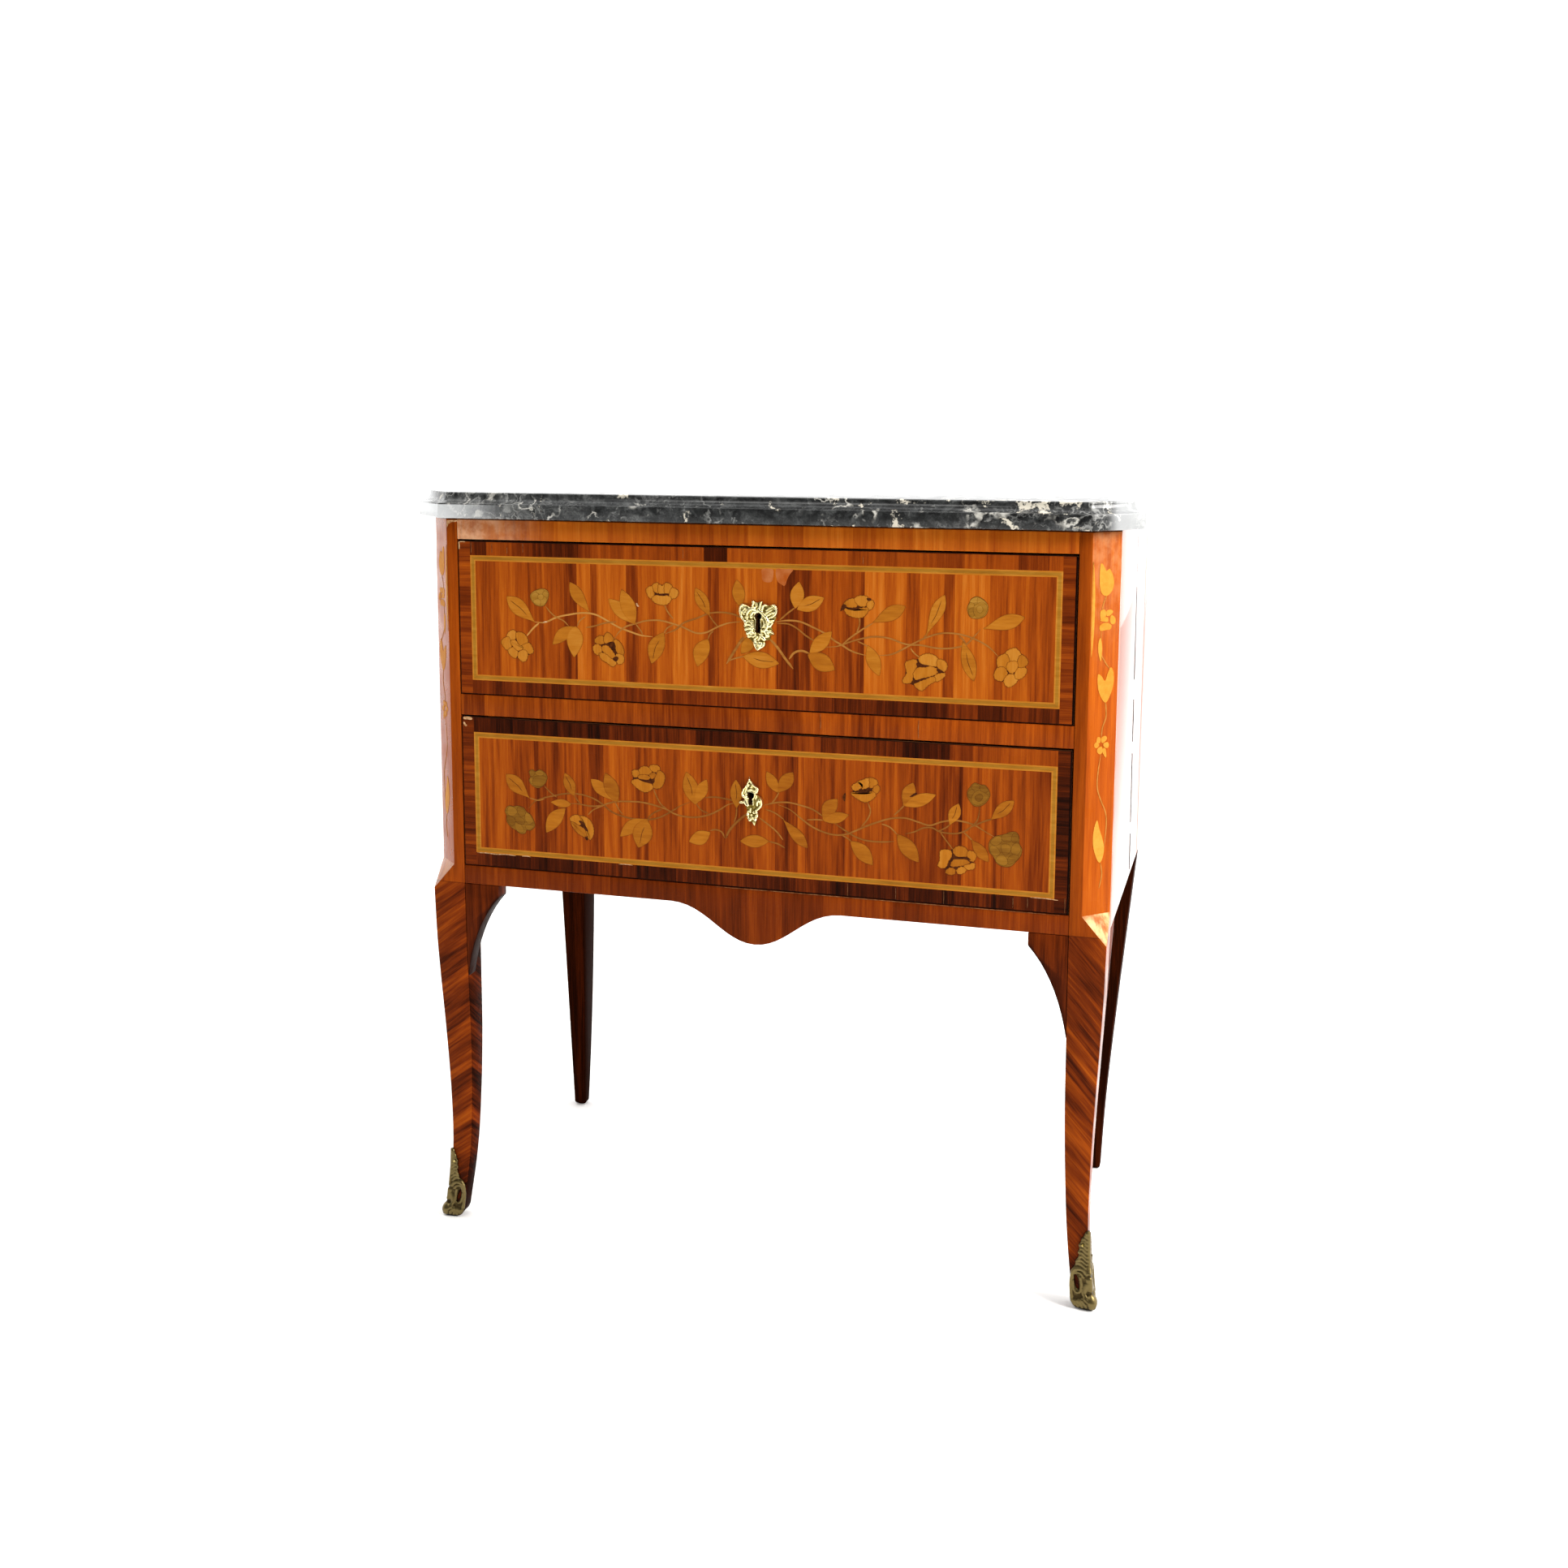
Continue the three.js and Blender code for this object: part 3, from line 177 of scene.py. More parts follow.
# Petals of each flower
PETALS = {
    "upper": flowers("""
        -281,690 1,5 5,3.5 3.5,-1.5 -.5,-7 -4,-2; -281,691 -7,-5 3,-6 4,-3 4,3 -1,7; -270,696 8,-.5 5,-6.5 -2,-5
        -6,-1.5 -4,5.5; -258,684.5 4,-.5 3.5,-8 -5.5,-2 -6,3 -2,4; -262,677 4.5,-3 -1.5,-7 -4,-2 -5,4 0,5; -278,678
        7.5,2 .5,-9 -3,-2.5 -5,3.5 -2,4; -277,686 5,1.5 4,-5 5,-2.5 -5,-3 -5,3
        / -111,752 4,3.5 3.5,-1 0,-8.5 -5.5,2; -103,754 3,-1.5 3.4,1.5 .1,-8.5 -6.5,0; -96,755.5 5,-.5 3,-4 -3,-4
        -5,-1.5; -117,749 5,3 2,-5 1,-5 -4,-2 -3,4; -88,751 6,-3 -1,-5 -4,-2.5 -4,1.5 1,5; -110.5,740 6.5,3 8,-.5
        6,-1.5 -1,-4 -5,-3.5 -8,.5 -5,2.5
        / -177,692 5,4 5,-1 .5,-5 -3.5,-2 -6,1; -166.5,695 3.5,5 5,-3 2,-5 -6,-2.5 -4,.5; -179,684 4,3 4,-2 1,-5 -4,-4
        -4,3; -155,692 4,0 4,-4 2.5,-6 -.5,-5 -5,1 -3,6; -152,677 7,-1.5 0,-6.5 -5,-2 -2,4; -169,684 5,2 5,-4 5,-7
        0,-3.5 -6,2.5 -6,4; -172,677 6,0 6,-4.5 7,-4 -4,-4.5 -6,4 -6,3
        / 101,741 5,4 6,.5 3,-4.5 -3,-3 -8,0; 112,746 5,3 7,-.5 2,-3.5 -2,-5 -6,-1 -4,3; 127,744 4,0 0,-5 -4,-3.5
        -2,4.5; 101,737 3,-1 8,-1.5 8,2 6,-.5 -4,-7 -6,-2 -7,1 -6,3
        / 166,681 5,3 5,1 2,-4 -4,-11 -2,-8 -7,-1 -1,3 4,7; 180,687 8,4.5 8,-1.5 3.5,-4 -.5,-5.5 -7,-.5 -8,1; 200,686
        6,-1 3,-5 -3,-5.5 -5,3 -1.5,3.5; 175,671 5,6 6,0 6,1.5 7,-2.5 -1,-4 -7,-3 -5,-1.5 -5,-2 -4,-.5; 196,667.5
        4,3.5 7,1 -2,-4 -5,-3.5 -3,.5; 176,659.5 5,2.5 7,3 7,3 2,-3.5 -7,-4.5 -6,-6 -5,2
        / 269,696 8,5 4,-2 3,-5 -4,-6 -7,0; 261,690 5,4 4,0 2.5,-7 -2.5,-6 -8,.5; 258,673 3,7 7,.5 2.5,-6.5 -4.5,-6
        -6,1; 268,667 4,6.5 7,0 2,-4.5 -4,-5 -5,-2; 279,674.5 3,6.5 6,1 2,-4 -4,-6 -5,-1.5; 284,694 5,-2 2,-5 -4,-4
        -6,1; 272,686 7,1.5 2,-4.5 -5,-7 -5,4
    """),
    "lower": flowers("""
        -209,491 6,4 7,-2 2.5,-3.5 -5.5,-5 -8,3.5; -208,487 8,-3.5 8,-4.5 1.5,-7 -5.5,1 -7,5; -197,494 9,-2 5,-7 1,-9
        -4,-7 -3.5,7 -2.5,9
        / -127,551 5,4 7,-2 2,-4 -7,-3 -8,1; -115,555 5,2 5,-1 1,-4 -6,-2; -135,549 6,1 1,-5 -5,-2; -115,546 5,2.5
        2,-3 -5,-3; -128,544 8,1.5 5,-2.5 -4,-2 -7,.5; -105,551 5,-2 2,-5 -3,-9 -5,-3 -4.5,1 1,7 2.5,6; -136,537 6,3
        8,-2 8,-2 2,-4.5 -8,-4.5 -8,3
        / 111,548 6,4 4,-1 -2,-4.5 -5,-2.5; 117,553 5,2 6,2.5 2,-3.5 -1.5,-5 -6.5,-2.5 -.5,4.5; 130,558 5,-1 3,-3
        -2.5,-4.5 -5,-1 0,5.5; 135,549 4,1.5 1,-4.5 -4,-4 -3,2.5; 110.5,541 7.5,0 9,.5 6,2 3,-3.5 -5,-5 -6,-2.5 -7,2.5
        -5,3
        / 206,485 5,2 5.5,-1 .5,-5.5 -3,-4.5 -2,-6 -4,-2 -4,2 2,6; 219.5,488 4.5,3.5 7,-.5 3,-4.5 -1.5,-4.5 -6.5,-1
        -5,2.5; 235,487 5,0 3,-4 -3,-5.5 -5,3; 218,474 4,4 8,.5 6,-2.5 -3,-2.5 -8,-2 -7,-1; 232,472 4,1 5,2 0,-5
        -6,-1.5 -4,1; 223.5,466 4.5,4 4.5,-2 -1.5,-3 -5,-2; 212,463.5 4,4.5 5,-1 0,-4 -4,-1.5
    """),
}
# Green-stained flowers: the whole outline first, then the petals laid over it and the curled heart last
GREEN_FLOWERS = {
    "upper": flowers("""
        -253,737 2,4 5,3 6,2 6,-1 3,-4 -1,-6 -4,-7 -5,-1.5 -6,1.5 -4,4; -252,737 3,4 5,0 1,-5 -4,-3 -4,0; -246,743.4
        6,2 4,-1.8 -3,-4.6 -5,2; -236,743.6 4,-1.2 .4,-5.4 -4.4,-1 -3,3; -233,735 -3,-6.4 -5,-1 0,6.4 4,3; -247,729
        5,-1.6 1,5.6 -4,1.5 -4.6,-2.5; -244,738 4,2 3,-2.5 -2,-3.5 -4,.5
        / 229,741 2,5 2,4 5,2.5 5,-1.5 4,-3 3,-5 -1,-7 -4,-4.5 -6,-1.5 -6,1 -3,4; 229.6,741 1.8,5 3.6,0 1,-4 -4,-3;
        231.6,747 2.4,3.6 5,1.2 1,-3.8 -4,-2; 240,751.6 6,-3 2,-3.6 -5,-1 -4,3; 230.4,738.6 4.6,2.4 2,-4 -2,-5 -3.6,1;
        240,746 5,1 4,-4 -.6,-6 -4.4,-5 -6,-.4 -3,6.4 1,5; 239,742 4,1 2,-4 -3,-3 -3,2
    """),
    "lower": flowers("""
        -258,541 4,2.5 4,-2 5,2.5 6,-3 3,-5 -2,-6 -5,-5.5 -6,-1.5 -6,3 -3,5 2,5; -257.4,541 3.4,1.8 3,-2.8 -2,-4
        -3.4,0; -250,541 5,2.2 5,-2.6 -3,-3.6 -6,1; -257,534 4,0 1,-5 -4,-1; -252,535 7,2 7,-.4 .6,-5.6 -4.6,-5.6
        -7,-1 -5,3.6
        / -284,500 7,0 5,1 7,-2 3,-4 5,-3 4,-7 1,-6 -5,-5 -5,0 -2,-4 -6,-.5 -5,3.5 -6,3 -5,6 0,7 -2,5; -283.6,499
        6.6,.2 4,-5.2 -5,-5 -7,2; -272,500 6.6,-2 2.4,-6 -6,-3 -4,5; -262,493.8 5,-2.8 3.4,-6.4 -5.4,-3.6 -5,6;
        -258,480 5,-1 -4,-4.2 -5,.2 -1,4; -285.4,489 6.4,-1 4,-5 -5,-6 -5,6; -276,482 7,-2 4,-7 -5,-2.6 -5,3.6;
        -276,488 7,.5 5,-4.5 -3,-4 -7,2
        / 233,545 0,6 3,5 4,4 6,-1.5 5,-.5 4,-5 1,-6 -4,-7 -6,-4 -6,0 -4,4; 233.6,546 .4,5 4,2 3,-4 -4,-5; 236.6,555
        3.4,4 5,-1.4 -1,-4.6 -5,0; 246,557.6 5,-.6 3.6,-4 -4.6,-3 -4,3; 240,550 6,2 8.6,-4.4 -3.6,-6.6 -6,-4 -6,1
        -2,5; 241,546 5,3 3,-3 -3,-5 -4,1
        / 257,500 5,5 6,2 4,1 6,3 6,0 3,-5 0,-6 3,-6 -1,-7 -5,-7 -5,-5 -7,-1 -7,3 -4,7 -4,4 -1,6; 258,500 4,4.4 6,1.6
        1,-6 -5,-4 -5,1; 269,506.6 7,2.8 5,-1.4 -3,-7 -7,0; 281,510 5,-1.4 0,-5.6 -4,-3 -3,3; 286.6,500 2.4,-7 -4,-6
        -6,3 2,8; 287.6,486 -3.6,-5.4 -7,-4 -1,6.4 5,5; 258,495 6,-1 4,-6 -6,-3.4 -4.4,4.4; 264,478.6 8,-3.6 4,4 -4,7
        -7,-2; 269,497 7,1 3,-5 -4,-6 -5,2
    """),
}
# Dark slits between the petals
SLITS = {
    "upper": outlines("""
        -107,744.2 7,.8 8,.2 -5,-2.6 -7,.2; -164,688.5 8,2.5 3,-6 -3,-2 -5,3; -153,675 3,-2 -3,-4 -4,3; 96.5,733 2.5,7
        4,-1 -1,-3 -3,-2; 102,737.4 8,-1 9,2 -5,-3.2 -7,-.2; 124.5,747.5 4.5,-.5 -1,-2.5 -3,.5; 178,682.5 6,-1.5
        7,-1.4 -7,-2 -6,1.4; 174.5,664.6 3.5,-.2 8,2.6 -4,-3.4 -5,-2.6; 199.5,677.5 6.5,-3.5 -3,-1 -4,1.5
    """),
    "lower": outlines("""
        -199,489 5,-1 6,-9 -2,-1 -6,7; -191,472 2.5,-2 -.5,-2.5 -2.5,1.5; -128,541 10,-.6 8.4,.6 -2.4,-4.4 -12,2;
        111,543 10,-1.2 8,1.6 4.5,4.2 -5.5,-3 -8,-1.8; 217.5,480.5 8.5,.3 7,.8 5,-3.2 -8,.4 -9,-.8; 172.5,541 5.5,4.5
        2.5,-.5 -4.5,-3.5; 101,537 3,3.5 -.4,-8.5 -2,1
    """),
}
# Stems: width, then the points that they run through
STEMS = {
    "upper": lines("""
        2 -258,693 8,9 7,6; 2 -248,709 12,0 14,6 17,4 15,2 14,-1.5 13,-6 13,-6.5 12,-4 14,-4 13,-1; 1.5 -235,727 6,-7
        7,-5 8,-3.5 6,-5.5; 1.5 -198,706 3,6 7,5.5; 1.8 -188,705 10,2 13,4 13,1.5; 1.9 -155,694 6,8 8,6 11,3.5 12,3.5
        15,1 13,-2.5 14,-4 14,-5.5 12,1 12,6 13,5 15,2; 1.5 -130,711 5,-6 3,-5; 1.6 -98,702 4,6 7,4; 1.9 -97,701.5
        13,5.5 9,7.5 15,5.5 13,5.5 15,1.5 14,-2 10,-5; 1.7 -97,733 4,-8 6,-7; 1.6 -47,724 5,-7 5,-5; 1.6 -48,698 2,5
        4,4; 3 -27.5,672 7.5,12 7,11 5,7; 1.6 -24,676 8,3 8,2; 2.8 20,701 8,-8 9,-12 9,-11; 1.8 31,721 8,7 9,7; 2.4
        64,687 -9,2.5 -8,-2.5 -5.5,-7; 2 26,719 14,2 14,-1 14,-5.5 12,-5.5 10,-7 9,-5 11,-6 16,-4; 1.8 28,717.5 12,0
        10,-4.5 10,-7.5 10,-5.5; 1.8 82,694.5 12,1.5 13,5 13,4 13,2.5 15,-1 18,-5.5 16,-.5 18,-2.5 15,1 13,4 8,8
        7,8.5; 1.8 99,698 8,7 8,6 8,5.5 9,5.5; 1.5 117,727 0,-8 -3,-8; 1.5 115,702 6,-2.5 5,-2.5; 1.8 137,688 13,1.5
        11,5 13,7.5 14,7 14,4.5 14,.5 14,-2.5 13,-5 10,-6 8,-8; 1.5 171,697 4,-5 6,-4.5; 1.7 184.5,709 2.5,2 2,5; 1.7
        221,711.5 5,-4.5 3,-6
    """),
    "lower": lines("""
        1.8 -259,499 7,8 11,5 11,3 12,3 13,1.5 15,-1.5 12,-4 9,-5.5 9,-6.5 12,-4 13,-2 20,.5 12,3.5 9,5 8,5 6,4 11,5;
        1.6 -258,511 10,-2 8,2; 1.5 -240,526 8,-7.5 7,-4.5; 1.5 -204,518 3,-5 4,-4.5; 1.9 -209,508 10,0 14,-1.4 13,1.4
        9,3.5 11,2.5 14,1 14,0 15,-2.5 13,-3.5 10,-4.5 12,-2 14,.5 14,4 11,6 9,6 10,3; 1.6 -188,496.5 7,6.5 15,7; 1.4
        -156,514 4,-8 5,-6; 1.6 -118,497 7,7 10,5; 1.6 -111,531 4,-9 5,-8 6,-4; 1.4 -62,518 6,-7 8,-3; 1.7 -52,525
        11,1.5 11,-1 16,-2.5; 1.6 -16,517 -.5,-9 -2.5,-8; 2.6 -2,512 -12,-9.5 -10,-11.5 -4.5,-9.5; 1.8 -46,489 6,1.5
        7,-2 3.5,-6.5; 1.8 20,482 10,-2 8,-4; 1.8 8,508 12,-8 9,-7 7,-8.5; 1.7 31,536 -4,-7 -4,-5; 1.6 16,517 11,-3.5
        10,-6.5; 1.9 14,521 14,4 14,1 15,-2.5 13,-4 12,-7.5; 1.8 92,507 11,-6.5 11,-6 12,-3.5 15,-.5 16,1.5; 1.9
        30,523 13,-4.5 12,-8.5 12,-8 12,-5 13,-2.5 13,1.5 11,5 11,5.5 13,5.5 13,4.5 15,1.5 13,-3 13,-3 12,4.5 12,2.5
        11,-.5 12,-3 11,-6 11,-5.5; 1.6 80,509.5 -9,0 -9,-1; 1.5 128,532 3,-9 -3,-9 -7,-9; 1.6 100,495 6,-3 5,-3.5;
        1.7 167,531.5 -5,-5.5 -6,-6; 1.6 143,510 9,-3 8,-7.5; 1.7 168,501 10,3 10,5 9,.5 8,-3.5 12,-1 11,2 10,7 6,8
        2,13; 1.4 205,506 6,-8 8,-10; 1.7 202,506 8,4 6,5; 1.8 238,513.5 11,6 10,4; 1.8 230,507 6,-5 3,-3
    """),
}

# The garland down each canted corner: distance across the cant from its front edge, and Z
GARLAND_LEAVES = outlines("""
    1,790 2,-10 1.6,-20 .4,-25 -1,-23 -2,-17 -1,20 -.4,35; 12.5,714 2.5,-6 .4,-8 -1.4,-10 -3.4,10 -.2,8; 10,787
    2.5,1.5 3.5,-4.5 2,-3 4,2 4.5,-7 1.5,-8 -2,-7 -6,-5 -6,1.5 -3.5,6.5 -1,11; 11,677 5,-2 4.5,-5 3.5,9 3.5,4.5
    3.5,-5.5 .5,-11 -2.5,-9 -5,-9 -4,-.5 -5,6.5 -3.5,9; 16,527 -3.5,-7 -1.5,-12 1.5,-11 4.5,-11 4,-4 3.5,5 1.5,10
    -3,11 -4,10
""")
GARLAND_PETALS = outlines("""
    12,741 6,1 1,-6.5 -6.5,-2.5; 19.6,741 5.4,1 3,-2.4 -4,-3.6 -4,0; 26,736.5 5,-3.5 0,-5 -4,-1 -3,4; 13,727.6 7,1.4
    6.5,-3 -1.5,-4 -5,-.5 -7,-.5 -2,3; 12,731.6 4,2.4 5,.6 1,-4.6 -5,0; 13,613 4,-1 -.4,-5 -4.6,.6; 18,612 5,1.6
    2.4,-3 -4.4,-4 -3,1; 21,606 5,1 2,-3.4 -2,-3 -4.4,2; 9,606 3,2 3.6,-3 -2.6,-3 -3,.6; 14,601.6 4.6,1.4 1.8,-5
    -3.4,-3 -4,3; 20.6,601 3.4,-1 1,-9 -4.6,5
""")
GARLAND_STEMS = lines("""
    1.6 19,756 -3,-7 -2,-7; 1.3 14,721 0,-21 6,-11 6,-7; 1.5 21.6,649 1.4,-8 0,-9 -4,-10 -1,-10; 1.3 18,595 -3,-20
    0,-15 5,-13 6,-12 2,-13 -2,-25; 1.4 22,482 2,-13 -3,-14
""")

# Escutcheons: outline as shares of the plate's width and height, from the keyhole's round, as in the solids.
# Their raised strokes: start radius, end radius, height, and the points that each runs through.
PLATES = {
    "upper": {
        "size": (42.5, 55),
        "outline": walk("""
            -.163,.312 .073,-.024 .065,-.023 .065,.023 .072,0 -.012,-.078 .076,.039 .104,-.024 .13,.024 .073,-.055
            .017,-.094 -.038,-.1 -.064,-.121 -.053,-.103 .075,-.11 -.106,-.023 -.011,-.079 -.127,-.04 .021,-.07
            -.095,-.071 -.117,-.048 -.085,.065 -.031,.085 -.074,.063 -.085,.055 -.043,.095 -.053,.102 .022,.071
            -.096,.102 -.038,.127 .028,.094 .063,.047 .117,-.024 .116,-.039 .011,.063
        """),
        "strokes": lines("""
            1.3 1 2.2 -1,735 -5,1.4 -4.6,-1.4 -1.4,-4 .6,-4 1.2,-4 3.2,-4 1,-3; .9 .8 1.4 -9,733 4,-2 3,2.4; .9 .7 1.4
            -8.6,728 3.6,1 1,-3; 1.4 1.1 2.9 4,733 -5,-2 -2.8,-4 .2,-4.4; 1.5 1.3 2.3 6,729.6 -3.4,-.6 -2.2,-3
            .2,-2.6; 1.3 1.2 2.9 8.6,731 4.4,-3.6 4,-4.8 1.6,-4.6 -.8,-5 -2.8,-3.6 -3,-.4; .9 .8 1.5 13,722 1.6,-4
            -1.2,-5; 1.1 .9 2.2 1.9,741 .7,-3 -1.6,-4; 1.1 1 2 11.4,740 -1,-3 -1,-4; 1.4 1.2 1.2 6,739 0,-4; 1 1 2.7
            8,732.2 .3,-.2; 1.2 1.1 2.6 12.4,732 1.6,4 4,.8 6,.6 3.6,-2.8 .4,-4.6 -1.6,-3.4 -3.4,-2.6; .8 .8 1.7
            17,731 4,2.6 3.6,1.4; 1 .9 2.3 16.6,728 4.4,2.6 4.8,2; 1.1 1 2.5 17.6,725.4 4.4,2.2 4.4,1.8; .9 .8 1.9
            19.4,722.4 3.2,2; 1.2 1 1.9 20.4,719 3.6,1; 1.6 1.2 2.2 20.6,714.6 2.8,2.4; 1.7 .8 2.2 18,708 3.4,.6
            3.6,-1.8; 1.8 1.4 2.4 16.6,708 1.4,-3; 1.1 .9 1.8 17,703 2.6,.6; 1.7 1.3 2.4 13,702 1.8,-2.2; 1 .8 1.6
            -6.4,714 3.4,1 4,-1; 1.2 1 1.9 -6,710 4,1 4,0; 1.4 1.1 2 -3.6,706 3.6,2.6; 1.2 1 1.7 -3,702.6 3.6,.8; 1 .9
            1.5 -5.4,718 3.4,1 3.6,-2.6; 1 .8 1.8 2.4,702.6 2.6,1.4; 1 .8 1.9 4.4,700 2.6,2.6; 1 .8 1.8 8.4,699.4
            1,2.6; .8 .7 1.4 3.6,698 2.4,.8; 1 .9 1.8 10.4,703.6 1.6,-2; 1.8 .8 2.4 4.8,695.6 1,-3.6 1.4,-3; 2.2 .9
            3.1 10,695 0,-3.4 -2,-2.6; 1.3 .8 2.2 14,695.4 -.6,-2.4 -2.4,-2; 1.2 1 1.6 -6.6,733 -2.4,-3 1.4,-3.4; 1.2
            .9 1.5 -5.6,723 2.2,-3; 1.4 1.1 1.5 1,719 .6,-5 -.2,-5; 1.2 1 1.7 0,706 3.4,.4; 1.3 1.1 1.4 15.6,717
            -.2,-3.4; 1.1 .9 1.6 12.4,705.6 -2.8,.4
        """),
    },
    "lower": {
        "size": (27, 53),
        "outline": walk("""
            -.053,.374 .066,-.074 .167,-.082 .15,-.057 0,-.074 -.067,-.057 .15,-.05 .1,-.082 -.033,-.114 -.117,-.074
            -.083,-.041 .067,-.066 -.05,-.057 -.05,-.066 -.084,-.106 -.083,.065 -.133,.033 -.084,.058 -.033,.065
            .033,.074 -.05,.074 -.083,.082 -.1,-.017 -.117,.049 .1,.033 .134,.008 -.067,.05 -.05,.065 .033,.074 .1,.09
            .1,.082
        """),
        "strokes": lines("""
            .8 .9 2 -1.3,550 .3,-3; .9 .8 1.8 -2.6,545.6 -1.4,-2.8; 1 .9 1.9 .5,545.4 2.5,-2; 1.4 1.2 1.4 0,541.4
            .4,-1; 1.2 1 2.6 -2,542 -4,-1.4 -2.6,-4.6 -.4,-4 1.2,-2.6 2.2,.6; .8 .7 1.4 -4,539.6 -1.6,-3.6 -.4,-3; 1.3
            1.1 2.6 3,543 3,-2 2,-2.6 -.8,-2.6 -1.2,1.2; .9 .8 1.5 -3,536.6 4,1 3.6,-1.6; 1 .8 1.6 -4.8,533 0,-5 .6,-4
            .8,-3; 1.3 1.1 2.8 5.4,533.6 2.6,-.6 3,-2 1.8,-4 -.2,-4.4 -2,-3.6 -2.6,-2.6 -1.6,-1; .9 .8 1.6 6.6,531
            -.6,-3; 1.2 1 2.1 9,526 -1.4,-2 0,-3; .7 .6 1.4 10.4,526 0,-4; 1.3 1 2.4 -12,522.6 2,.8 2,-1; 1.3 1 2.2
            -6.6,524 1.6,-2.6 2,-1.4; 1 .8 1.6 -6,527 1.6,-.6; 1 .8 2 -3.6,513 2.6,1; .8 .7 1.8 0,516.4 0,-3.6; 1.3
            1.1 2.2 -3.4,510.4 .6,-.6; 1 .9 1.9 1,510 .2,-.6; 1.2 1 2 3.6,513 .4,-.6; 1 .9 2 6.6,513 1.8,-2; 1.5 1.3
            2.9 6.8,508.6 .2,-.6; 1.3 1 2.1 4,506 1.6,-1.6; 1.5 1.2 2.5 -1,504 1.8,2; .9 .7 1.6 -2.6,507 -.2,-2.2; 1.2
            .7 1.3 3.4,501.4 .8,-2.4
        """),
    },
}

# Sabots, unfolded: X is the distance from the leg's outer corner along one arm, and Z the height, as drawn for
# the right one. Each sabot's height, the share of its full width that its leaf has, and where the leaf starts.
SABOT_SIZES = {"left": (81.0, 0.74), "right": (85.0, 1.0)}
SABOT_LEAF_FOOT = 46
# Outline of one arm, then the middle of the opening in it and the opening's half width and half height
SABOT_ARM = walk("""
    11,0 5.5,1.6 2.9,2.4 2,4 .2,4 -.2,6 -.2,6 -.4,6 -1.2,6 -1.2,5 -3.8,5 -1.2,3 .6,2 -3,4 -1.4,3 1.2,3 -1.8,4 1,4
    -2.4,4 -.8,3 -2.2,3 -1.4,3.4 -1.6,2.6
""")
SABOT_WINDOWS = {"left": (12.6, 25.0), "right": (13.2, 29.0)}
SABOT_WINDOW_SIZE = (2.2, 8.0)
# Raised strokes, as on the escutcheons
SABOT_STROKES = lines("""
    1.6 1.3 1.5 20,31 -1,6 -3.4,4.6 -5,1.8 -5,-1 -3,-3.8; 1.1 .9 1 17,33 -1.6,4.6 -3.4,1.8 -4,-1 -2.2,-3.4; 1 .9 1
    9,34 -.8,-6 .8,-6 2.6,-3.6 3.4,.2 2,4.4 .2,7; 2.2 1.1 1.8 1.6,27 3,-4 1.8,-5 -2,-3.6; 2 1.4 1.9 4.6,13 -3,-3; 1.9
    1.2 1.6 8.6,10 -3.2,-5.4; 1.8 1.1 1.4 12.4,9 -2.8,-5.4; 1.6 1 1.2 16,8.6 -2.4,-4.6; 1.4 1 1 19,9.4 -1.6,-3.8; 2.2
    1.6 1.9 0,13 0,-9; 1.5 1.2 1.3 20,13 .4,9 -.4,9; 2 1.4 1.8 0,32 0,-10; .8 .5 .9 0,84 0,-10 0,-14 0,-14 0,-8; 1.5
    .8 1 13.6,49.4 -5.2,-.4 -5.4,-4; 1.5 .8 1 13.2,52 -5.8,1 -5.4,-4; 1.4 .8 1 10.2,56 -4.2,1 -4.4,-4; 1.4 .8 1 10,61
    -4,-.4 -4.6,-3.6; 1.3 .8 .9 9.4,65 -3.8,0 -4.4,-4; 1.3 .8 .9 9.2,69 -4,0 -4.2,-4; 1.2 .8 .9 7,73 -3,-.4 -3.2,-3.6;
    1.1 .8 .9 6,76 -2.6,0 -2.8,-3; 1 .8 .9 4,79.6 -2,-.6 -1.6,-2; .9 .7 .9 2.8,82.6 -1.8,-1.6
""")
# All cast strokes are made this many times as wide as their radii say
STROKE_SPREAD = 1.5
# How far the leg's outer face stands back, as shares of the leg's height and of the post's stock
OUTER_SETBACKS = [
    (0, .1), (.06, .18), (.148, .255), (.234, .284), (.32, .28), (.443, .243), (.579, .178), (.714, .1), (.837, .04),
    (1, 0),
]

# Wear: filled patches by outline, chips by width and line, and the chip off the left stile by outline
OLD_FILLER = outlines("""
    12,774.4 11,0 1,-5.4 -1.4,-7 -4.6,-1.6 -5.4,1.6 -1.2,6; 27,774.6 9,.2 9.6,.2 -3.6,-5.4 -3,-5.6 -2.4,-6.4 -3.6,1
    -5,4.4
""")
CHIPS = {
    "upper": lines("""
        1.4 -238,708.6 2,1 3,0; 1.6 -129,734 1,-2.4 1.6,-1.6; 1.5 -337.6,795.4 .4,-4.4 -.1,-4; 1.2 -337,795.2 4,.2
        3,-.2
    """),
    "lower": lines("""
        3.2 -337,597.4 6,.2 5,-.6; 2.2 -336.6,593 1.6,-3 2,-1.4; 1 -323,443.4 11,.4 12,-.6 12,.7 12,-.7; .9 -268,443.5
        6,.4 4,-.5; .8 -152,443.4 8,.4 8,-.4; .9 300,443.9 10,0 10,-.2 8,-.7
    """),
}
STILE_CHIP = walk("-351.8,810.5 0,7.9 7.8,.6 7.4,-.2 -4.4,-1.8 -5.6,-.6 -3.4,-2.4")
